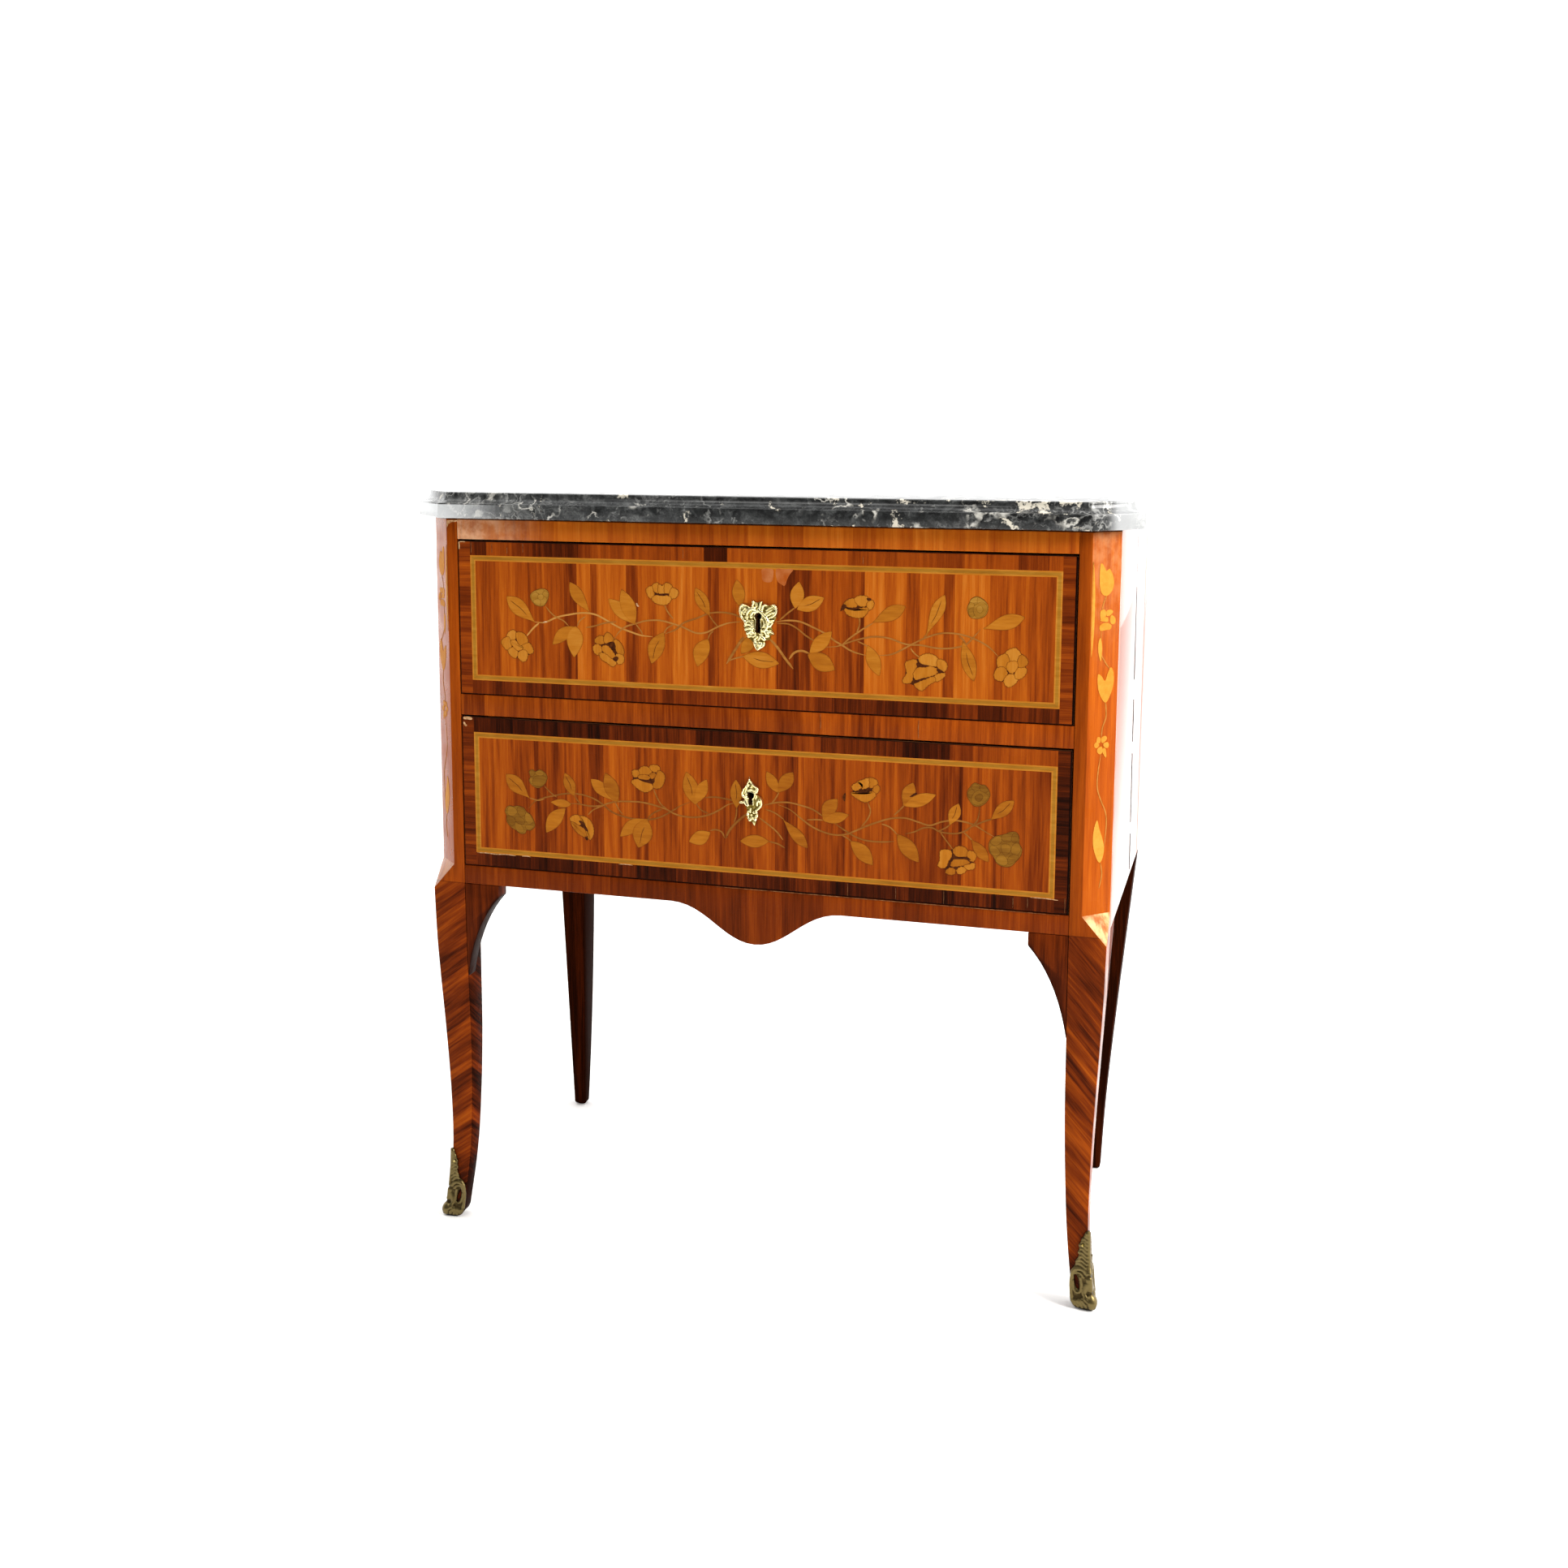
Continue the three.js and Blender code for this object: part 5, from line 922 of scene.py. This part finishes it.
def side_place(along, z, out):
    return Vector((HALF_WIDTH + out, FRONT_Y + along, z))


def cant_place(side):
    sign = 1 if side == "right" else -1
    corner = HALF_WIDTH - CANT * MM

    def place(across, z, out):
        step, lift = across / math.sqrt(2), out / math.sqrt(2)
        return Vector((sign * (corner + step + lift), FRONT_Y + step - lift, z))

    return place


# ---- the drawers' faces

def veneer_strips(level, part, finish, box, cuts, tones, gap=None):
    """A band of veneer laid in strips, cut across X or, for level grain, across Z. The gap is a box left open."""
    work = Inlay(front_place, "ground")
    x0, x1, z0, z1 = box
    across = finish != "border_level"
    edges = [x0 if across else z0, *cuts, x1 if across else z1]
    for start, end, tone in zip(edges, edges[1:], tones):
        boxes = [(start, end, z0, z1) if across else (x0, x1, start, end)]
        if gap and start < gap[1] and end > gap[0]:
            boxes = [(start, end, z0, gap[2]), (start, end, gap[3], z1)]
            boxes += [(start, gap[0], *gap[2:])] * (start < gap[0]) + [(gap[1], end, *gap[2:])] * (end > gap[1])
        for left, right, low, high in boxes:
            ring = corners(left, right, low, high)
            middle = Vector(((left + right) / 2, (low + high) / 2))
            work.plate(ring, tone, [p + (middle - p) * 0.02 for p in ring], 0.0)
    slot = "field_veneer" if finish == "field" else "border_veneer"
    work.done(f"{level}_{part}", f"{level}_drawer", slot, finish)


def random_cuts(source, low, high, least, most):
    cuts = []
    place = low + source.uniform(least, most)
    while place < high - least:
        cuts.append(place)
        place += source.uniform(least, most)
    return cuts


def frame_band(work, half, low, high, width, tone):
    """Four mitred lines just inside a rectangle."""
    outer = corners(-half, half, low, high)
    inner = corners(-half + width, half - width, low + width, high - width)
    for i in range(4):
        j = (i + 1) % 4
        ring = [outer[i], outer[j], inner[j], inner[i]]
        middle = sum(ring, Vector((0, 0))) / 4
        work.plate(ring, tone + 0.06 * (i % 2), [p + (middle - p).normalized() * 0.12 for p in ring])


def border_tone(row, end, x, source):
    """Tone of one crossbanding strip; some stretches of the top border are darker or brighter than the rest."""
    for low, high, tone in row["border_marks"]:
        if end == "top" and low <= x <= high:
            return tone + source.uniform(0, 0.1)
    return row["border"][end] + source.uniform(-0.1, 0.1)


def dress_drawer_front(level):
    row = DRAWERS[level]
    body = f"{level}_drawer"
    source = random.Random(SEED + 35 + (level == "lower"))
    low, high = (corner.z / MM + inset for corner, inset in zip(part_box(f"{level}_drawer_front"), (0.2, -0.2)))
    string_low, string_high, key_x, key_z = (row[key] for key in ("string_low", "string_high", "key_x", "key_z"))
    half, string_half, string = FRONT_HALF_WIDTH, STRING_HALF_WIDTH, sum(STRING_LINES)
    around_key = (key_x - 5, key_x + 5, key_z - row["slot_drop"] - 2, key_z + row["key_radius"] + 1.5)
    field = (string - string_half, string_half - string, string_low + string, string_high - string)
    cuts, tones = [x for x, _ in row["tones"]][1:], [tone for _, tone in row["tones"]]
    veneer_strips(level, "field_veneer", "field", field, cuts, tones, around_key)
    for end, box in (
        ("top", (-string_half, string_half, string_high, high)),
        ("bottom", (-string_half, string_half, low, string_low)),
    ):
        cuts = random_cuts(source, -string_half, string_half, 11, 34)
        middles = [(a + b) / 2 for a, b in zip([-string_half] + cuts, cuts + [string_half])]
        tones = [border_tone(row, end, x, source) for x in middles]
        veneer_strips(level, f"{end}_crossbanding", "border_upright", box, cuts, tones)
    for end, box in (("left", (-half, -string_half, low, high)), ("right", (string_half, half, low, high))):
        cuts = random_cuts(source, low, high, 9, 24)
        tones = [row["border"][end] + source.uniform(-0.08, 0.08) for _ in range(len(cuts) + 1)]
        veneer_strips(level, f"{end}_crossbanding", "border_level", box, cuts, tones)
    # Painted shadow: a dark band round the drawer front's edge, wider on its right, for the shade in the gap round the
    # drawer.
    arris = Inlay(front_place, "stringing")
    frame_band(arris, half + 0.3, low - 0.2, high + 0.2, 0.6, 0.5)
    arris.plate(corners(half - 1.4, half, low, high), 0.5)
    arris.done(f"{level}_worn_arris", body, "dark_wood", "shadow_gap")
    inset = 0.0
    for index, width in enumerate(STRING_LINES):
        work = Inlay(front_place, "stringing")
        frame_band(work, string_half - inset, string_low + inset, string_high - inset, width, 0.42)
        look = ("inlay_green", "green_line") if index == 1 else ("inlay_pale", "light_line")
        work.done(f"{level}_stringing_{index}", body, *look)
        inset += width


def leaf_outline(row, shrink=1.0):
    width, bend, belly, (base, tip) = row
    base, tip = Vector(base), Vector(tip)
    along = tip - base
    side = Vector((-along.y, along.x)).normalized()
    power = math.log(0.5) / math.log(belly)
    steps = 14
    left, right = [], []
    for i in range(steps + 1):
        share = (1 - shrink) / 2 + shrink * i / steps
        middle = base + along * share + side * (bend * 4 * share * (1 - share))
        half = width / 2 * math.sin(math.pi * share ** power) ** 0.85 * shrink
        if i in (0, steps) and shrink == 1.0:
            half = 0.35
        left.append(middle + side * half)
        right.append(middle - side * half)
    return right + left[::-1]


def frilled(outline, reach, frills):
    """A petal's outline moved outwards by a reach, with small scallops along it."""
    ring = resampled(grown(outline, reach), 0.8)
    lobes = max(5, round(len(ring) * 0.8 / frills))
    return grown(ring, lambda i: 0.55 * abs(math.sin(math.pi * lobes * i / len(ring))) - 0.3)


def inlay_marquetry(level):
    source = random.Random(SEED + 40 + (level == "lower"))
    stems, cut, veins = (Inlay(front_place, layer) for layer in ("stem", "saw_cut", "vein"))
    leaves, petals, greens, petal_cuts, green_cuts = (Inlay(front_place, "inlay") for _ in range(5))
    petal_base = petals.top + PETAL_LIFT
    leaf_tone, green_tone, pale_stems, stem_tone = (0.6, 0.7, 2, 0.42) if level == "upper" else (0.5, 0.5, 0, 0.32)
    for index, (width, points) in enumerate(STEMS[level]):
        stems.ribbon(points, width, stem_tone + source.uniform(0, 0.2) + (0.25 if index < pale_stems else 0.0))
    for index, row in enumerate(LEAVES[level]):
        outline = leaf_outline(row)
        cut.plate(grown(outline, 0.2), 0.5)
        leaves.plate(outline, leaf_tone + source.uniform(-0.1, 0.1), leaf_outline(row, 0.8))
        if index in VEINED_LEAVES[level]:
            base, tip = (Vector(p) for p in row[3])
            side = Vector((-(tip - base).y, (tip - base).x)).normalized()
            veins.ribbon([
                base.lerp(tip, share) + side * (row[1] * 4 * share * (1 - share) + 0.6 * math.sin(share * 9))
                for share in (0.28, 0.5, 0.7, 0.86)
            ], 0.5, 0.3)
    for flower in PETALS[level]:
        petals.top = petal_base
        ends = [Vector(p) for points in flower for p in points]
        cut.plate(grown([ends[i] for i in convex_hull_2d(ends)], -1.2), 0.5)
        for points in flower:
            outline = frilled(blob(points), 0.7, 3.6)
            petal_cuts.top = petals.top + LAYER_STEP
            petal_cuts.plate(grown(outline, 0.36), 0.5, step=0.0)
            petals.plate(outline, leaf_tone + source.uniform(-0.06, 0.2), grown(outline, -1.3), 2 * LAYER_STEP)
    for whole, *parts in GREEN_FLOWERS[level]:
        whole = blob(whole, 5)
        cut.plate(grown(whole, 0.35), 0.5)
        greens.top = petal_base
        greens.plate(whole, green_tone, grown(whole, -0.8), shade=0.6)
        for points in parts:
            outline = blob(points)
            green_cuts.top = greens.top + LAYER_STEP
            green_cuts.plate(grown(outline, 0.2), 0.12, step=0.0)
            greens.plate(outline, green_tone + source.uniform(-0.06, 0.12), grown(outline, -0.8), 2 * LAYER_STEP, 0.7)
    for points in SLITS[level]:
        veins.plate(blob(points), 0.3, grown(blob(points), -0.1))
    for work, part, slot, finish in (
        (cut, "saw_cuts", "dark_wood", "saw_cut"), (petal_cuts, "petal_saw_cuts", "dark_wood", "saw_cut"),
        (green_cuts, "green_saw_cuts", "inlay_green", "green"), (stems, "stems", "inlay_pale", "stem"),
        (leaves, "leaves", "inlay_pale", "leaf"), (petals, "petals", "inlay_pale", "petal"),
        (greens, "green_flowers", "inlay_green", "green"), (veins, "engraved_lines", "dark_wood", "saw_cut"),
    ):
        work.done(f"{level}_{part}", f"{level}_drawer", slot, finish)


def inlay_garland(side):
    source = random.Random(SEED + 90)
    leaves, stems = (Inlay(cant_place(side), layer) for layer in ("inlay", "stem"))
    for width, points in GARLAND_STEMS:
        stems.ribbon(points, width, source.uniform(0.5, 0.62))
    for rows, low, high, reach in ((GARLAND_LEAVES, 0.8, 0.95, -0.7), (GARLAND_PETALS, 0.75, 0.9, -0.6)):
        for points in rows:
            leaves.plate(blob(points), source.uniform(low, high), grown(blob(points), reach))
    stems.done(f"{side}_garland_stems", "carcass", "inlay_pale", "stem")
    leaves.done(f"{side}_garland_leaves", "carcass", "inlay_pale", "leaf")


# ---- cast brass

def distance_to_path(points, path):
    """Each point's distance to a polyline, and how far along it the nearest place is, from 0 to 1."""
    best, share = np.full(len(points), np.inf), np.zeros(len(points))
    total = sum((b - a).length for a, b in zip(path, path[1:]))
    walked = 0.0
    for a, b in zip(path, path[1:]):
        start, span = np.array(a[:2]), np.array((b - a)[:2])
        length = max(float(np.hypot(*span)), 1e-9)
        t = np.clip(((points - start) @ span) / length ** 2, 0, 1)
        far = np.hypot(*(points - start - t[:, None] * span).T)
        share = np.where(far < best, (walked + t * length) / total, share)
        best = np.minimum(best, far)
        walked += length
    return best, share


def relief_height(points, strokes):
    """Height of the raised work over each point: the highest of all the rounded strokes there."""
    height = np.zeros(len(points))
    for start, end, top, path in strokes:
        line = smooth_path(path, 4) if len(path) > 2 else [Vector(p) for p in path]
        far, share = distance_to_path(points, line)
        radius = (start + (end - start) * share) * STROKE_SPREAD
        height = np.maximum(height, top * np.sqrt(np.clip(1 - (far / radius) ** 2, 0, 1)))
    return height


def inside(point, loop):
    hit = False
    for a, b in zip(loop, loop[1:] + loop[:1]):
        if (a.y > point.y) != (b.y > point.y):
            hit ^= point.x < a.x + (point.y - a.y) * (b.x - a.x) / (b.y - a.y)
    return hit


def triangulated(outline, holes, step):
    """A close, even mesh of the area inside an outline and outside its holes, as (points, triangles)."""
    loops = [resampled(loop, step) for loop in [outline] + holes]
    edges = []
    for loop in loops:
        edges += [(len(edges) + i, len(edges) + (i + 1) % len(loop)) for i in range(len(loop))]
    points = [p for loop in loops for p in loop]
    rim = np.array([p[:2] for p in points])
    low, high = rim.min(0), rim.max(0)
    grid = [(x + (0.5 * step if j % 2 else 0), z) for j, z in enumerate(np.arange(low[1], high[1], step * 0.87))
            for x in np.arange(low[0], high[0], step)]
    points += [Vector(g) for g in grid if np.hypot(*(rim - g).T).min() > 0.55 * step]
    verts, _, faces, _, _, _ = delaunay_2d_cdt(points, edges, [], 2, 1e-5)
    keep = []
    for face in faces:
        centre = sum((verts[i] for i in face), Vector((0, 0))) / 3
        if inside(centre, loops[0]) and not any(inside(centre, hole) for hole in loops[1:]):
            keep.append(tuple(face))
    return verts, keep


def cast_relief(node, body, outline, holes, strokes, place, base, step, finish="brass", back=0.0, floor=0.16):
    """A cast plate: raised front, straight rim and flat back. The place maps a point and a height into the scene."""
    flat, faces = triangulated(turned_left(outline), holes, step)
    height = relief_height(np.array([p[:2] for p in flat]), strokes)
    edges = {(a, b): True for face in faces for a, b in zip(face, face[1:] + face[:1])}
    rim_edges = [(a, b) for a, b in edges if (b, a) not in edges]
    rim = {i for edge in rim_edges for i in edge}
    top = [base * (0.55 if i in rim else 1.0) + h * (0.45 if i in rim else 1.0) for i, h in enumerate(height)]
    verts = [place(p, out) for p, out in zip(flat, top)] + [place(p, back) for p in flat]
    total = len(flat)
    solid = faces + [tuple(i + total for i in reversed(face)) for face in faces]
    solid += [(b, a, a + total, b + total) for a, b in rim_edges]
    most = max(stroke[2] for stroke in strokes)
    relief = [floor + (1 - floor) * min(h / most, 1.0) for h in height] + [0.0] * total
    piece = new_piece(f"{node}_cast", body, "gilt_brass", finish, verts, solid, {"relief": relief}, 62)
    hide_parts(node)


def keyhole_outline(row, spread):
    """A round with a slot below it that widens downwards, anticlockwise."""
    steps = 18
    x, z, radius = row["key_x"], row["key_z"], row["key_radius"] + spread
    neck, half, drop = row["neck_width"] / 2 + spread, row["slot_width"] / 2 + spread, row["slot_drop"] + spread
    start = -math.pi / 2 + math.asin(neck / radius)
    turn = 2 * math.pi - 2 * math.asin(neck / radius)
    angles = [start + turn * i / steps for i in range(steps + 1)]
    points = [(x - half + 0.5, z - drop), (x + half - 0.5, z - drop), (x + half, z - drop + 1.2)]
    points += [(x + radius * math.cos(a), z + radius * math.sin(a)) for a in angles]
    return [Vector(p) for p in points + [(x - half, z - drop + 1.2)]]


def cast_escutcheon(level):
    row, plate = DRAWERS[level], PLATES[level]
    width, height = plate["size"]
    outline = blob([(row["key_x"] + x * width, row["key_z"] + z * height) for x, z in plate["outline"]])
    collar = keyhole_outline(row, 0.75)
    cast_relief(
        f"{level}_escutcheon", f"{level}_drawer", outline, [keyhole_outline(row, 0.0)],
        plate["strokes"] + [(0.7, 0.7, 1.4, collar[2:] + collar[:1])],
        lambda p, out: Vector((p.x * MM, FRONT_Y - 0.0004 - out * MM, p.y * MM)), 0.9, 0.6,
    )


def cast_sabot(side):
    height, leaf = SABOT_SIZES[side]
    scale = height / SABOT_SIZES["right"][0]
    sign = 1 if side == "right" else -1

    def sized(points, way):
        return [(way * x * (leaf if z > SABOT_LEAF_FOOT else 1.0), z * scale) for x, z in points]

    outline = [Vector(p) for p in sized(SABOT_ARM, -1)[::-1] + sized(SABOT_ARM, 1)]
    reach, middle = SABOT_WINDOWS[side]
    wide, tall = SABOT_WINDOW_SIZE
    windows, strokes = [], []
    for way in (-1, 1):
        windows.append([
            Vector((way * reach + wide * math.cos(a) + way * 0.12 * tall * math.sin(a), middle + tall * math.sin(a)))
            for a in (2 * math.pi * i / 18 for i in range(18))
        ])
    for start, end, top, path in SABOT_STROKES:
        strokes += [(start, end, top * 0.75, sized(path, way)) for way in (-1, 1)]
    shares, setbacks = np.array(OUTER_SETBACKS).T
    rounding = 1.6

    def place(point, out):
        """A point of the unfolded sabot, with the corner at X 0, bent round the leg's outer corner.

        The toe swells forwards about 9 mm above the floor, and the last 3 mm are drawn in.
        """
        wood = POST_STOCK * float(np.interp(min(max(point.y / LEG_HEIGHT, 0), 1), shares, setbacks))
        toe = 3.4 * math.exp(-((point.y - 9) / 6.5) ** 2) * math.exp(-(point.x / 8) ** 2)
        swell = out + toe - 2.4 * max(0.0, 1 - point.y / 3.0) ** 2
        angle = (1 - max(-1.0, min(1.0, point.x / rounding))) * math.pi / 4
        x = HALF_WIDTH / MM - wood - max(point.x, 0) + swell * math.sin(angle)
        y = FRONT_Y / MM + wood + max(-point.x, 0) - swell * math.cos(angle)
        return Vector((sign * x * MM, y * MM, point.y * MM))

    cast_relief(f"{side}_sabot", "carcass", outline, windows, strokes, place, 2.3, 0.8, "dull_shaded_brass", 0.3, 0.34)


# ---- the carcass, and wear

def dress_carcass():
    softened("marble_top", "marble", 1.2)
    for side in SIDES:
        softened(f"front_{side}_post_leg", f"{side}_post", 0.9)
        softened(f"rear_{side}_post_leg", f"{side}_rear_leg", 1.2)
        softened(f"{side}_side_panel", "side", 0.5)
        softened(f"front_{side}_knee_block", "knee", 0.9)
        softened(f"side_{side}_knee_block", "knee", 0.9)
    for rail, finish in (("front_top_rail", "top_rail"), ("divider_rail", "divider"), ("apron_rail", "apron")):
        softened(rail, finish, 0.8)
    for level in LEVELS:
        softened(f"{level}_drawer_front", "oak", 0.3)


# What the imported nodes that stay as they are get: the first finish whose words include the node's last word
PLAIN_FINISHES = {
    "oak": ["rail", "brace", "back"], "oak_upright": ["panel"], "brass_plain": ["pin"],
    "oak_deep": ["board", "kicker", "runner", "side", "bottom"], "iron": ["case", "cap"], "steel": ["bolt", "screw"],
}


def dress_hidden_nodes():
    dressed = {name for name in bpy.data.objects.keys() if name.endswith(("_dressed", "_cast"))}
    for node in frame["nodes"]:
        if f"{node}_dressed" in dressed or f"{node}_cast" in dressed:
            continue
        finish = next(key for key, words in PLAIN_FINISHES.items() if node.split("_")[-1] in words)
        mesh = frame["nodes"][node].data
        mesh.materials.clear()
        mesh.materials.append(material[finish])


def add_wear():
    """Old filler, chips, hairlines, a painted highlight along the apron's top arris, and the shrinkage split in the
    right side.
    """
    work = Inlay(front_place, "saw_cut")
    for points in OLD_FILLER:
        work.plate(blob(points), 0.5)
    work.done("upper_old_filler", "upper_drawer", "field_veneer", "patch")
    for level in LEVELS:
        work = Inlay(front_place, "vein")
        for width, points in CHIPS[level]:
            work.ribbon(points, width, 0.5, 0.4)
        work.done(f"{level}_chips", f"{level}_drawer", "field_veneer", "worn")
    work = Inlay(front_place, "vein")
    chip = [Vector(p) for p in STILE_CHIP]
    work.plate(chip, 0.5, grown(chip, -0.3))
    work.done("left_stile_chip", "carcass", "rail_veneer", "worn")
    for level in LEVELS:
        work = Inlay(front_place, "vein")
        width, lean, rows = HAIRLINES[level]
        for x, low, high in rows:
            work.ribbon([(x, low), (x + lean, (low + high) / 2), (x, high)], width, 0.5, 0.1)
        work.done(f"{level}_hairlines", f"{level}_drawer", "field_veneer", "hairline")
    work = Inlay(front_place, "vein")
    arris, (low, high) = APRON_TOP / MM - 0.5, DIVIDER
    # Painted highlight: a lighter line along the apron's top arris; the two upright lines after it are hairline cracks
    # in the divider rail.
    work.ribbon([(-40, arris - 0.3), (60, arris), (180, arris - 0.1), (330, arris)], 0.5, 0.5, 0.2)
    work.ribbon([(181, low + 2), (180.4, low + 9), (181, high - 2)], 0.5, 0.5, 0.3)
    work.ribbon([(76, low + 6), (76.4, low + 12), (76, high - 1)], 0.4, 0.5, 0.3)
    work.done("rail_hairlines", "carcass", "rail_veneer", "hairline")

    split = Inlay(side_place, "ground")
    source = random.Random(SEED + 7)
    path = smooth_path(SPLIT, 12)
    for start, end in SPLIT_RUNS:
        near, far = [], []
        for step, point in enumerate(path[start:end + 1]):
            half = 1.4 * min(1.0, 0.2 + step / 3, 0.2 + (end - start - step) / 3) * source.uniform(0.6, 1.1)
            drift = source.uniform(-0.7, 0.7)
            near.append(Vector((point.x + drift - half, point.y)))
            far.append(Vector((point.x + drift + half, point.y)))
        ring = near + far[::-1]
        split.plate(ring, 0.5, grown(ring, -0.1))
    split.done("right_side_split", "carcass", "dark_wood", "shadow_gap")


# ---- the stage

def build_camera():
    data = bpy.data.cameras.new("camera")
    data.sensor_width = 36.0
    data.lens = 40.53
    data.shift_x = 0.0342
    data.shift_y = -0.0735
    data.dof.use_dof = False
    camera = linked("camera", data)
    camera.location = (0.5315, -1.9656, 0.9429)
    camera.rotation_euler = (math.radians(90 - 8.45), 0.0, math.radians(17.38))
    bpy.context.scene.camera = camera


def add_area_light(name, place, target, size, power, color):
    data = bpy.data.lights.new(name, "AREA")
    data.shape = "RECTANGLE"
    data.size, data.size_y = size
    data.energy = power
    data.color = color
    lamp = linked(name, data)
    lamp.location = place
    lamp.rotation_euler = (Vector(target) - Vector(place)).to_track_quat("-Z", "Y").to_euler()


def build_stage():
    """A pale floor, a world that is dark behind the camera and bright behind the chest, and two windows."""
    reach = 9.0
    mesh = bpy.data.meshes.new("floor")
    square = [(-reach, -reach, 0), (reach, -reach, 0), (reach, reach, 0), (-reach, reach, 0)]
    mesh.from_pydata(square, [], [(0, 1, 2, 3)])
    mesh.materials.append(floor_surface("pale_floor"))
    linked("floor", mesh)
    tree = Tree("studio", bpy.data.worlds.new("studio"))
    glow = {"Color": (1.0, 1.0, 1.0, 1.0), "Strength": tree.band(tree.y, -0.55, 0.25, 0.06, 2.4)}
    tree.add("ShaderNodeOutputWorld", {0: tree.out("ShaderNodeBackground", 0, glow)})
    bpy.context.scene.world = tree.owner
    add_area_light("window", (2.5, -0.55, 2.0), (0.2, 0.0, 0.7), (1.2, 1.2), 125.0, (1.0, 0.98, 0.95))
    add_area_light("front_fill", (-0.5, -1.9, 2.7), (0.0, -0.1, 0.7), (1.4, 1.0), 24.0, (1.0, 0.99, 0.97))
    bpy.context.scene.view_settings.view_transform = "Standard"


build_camera()
build_stage()
dress_carcass()
for drawer_level in LEVELS:
    dress_drawer_front(drawer_level)
    inlay_marquetry(drawer_level)
    cast_escutcheon(drawer_level)
for chest_side in SIDES:
    inlay_garland(chest_side)
    cast_sabot(chest_side)
dress_hidden_nodes()
add_wear()
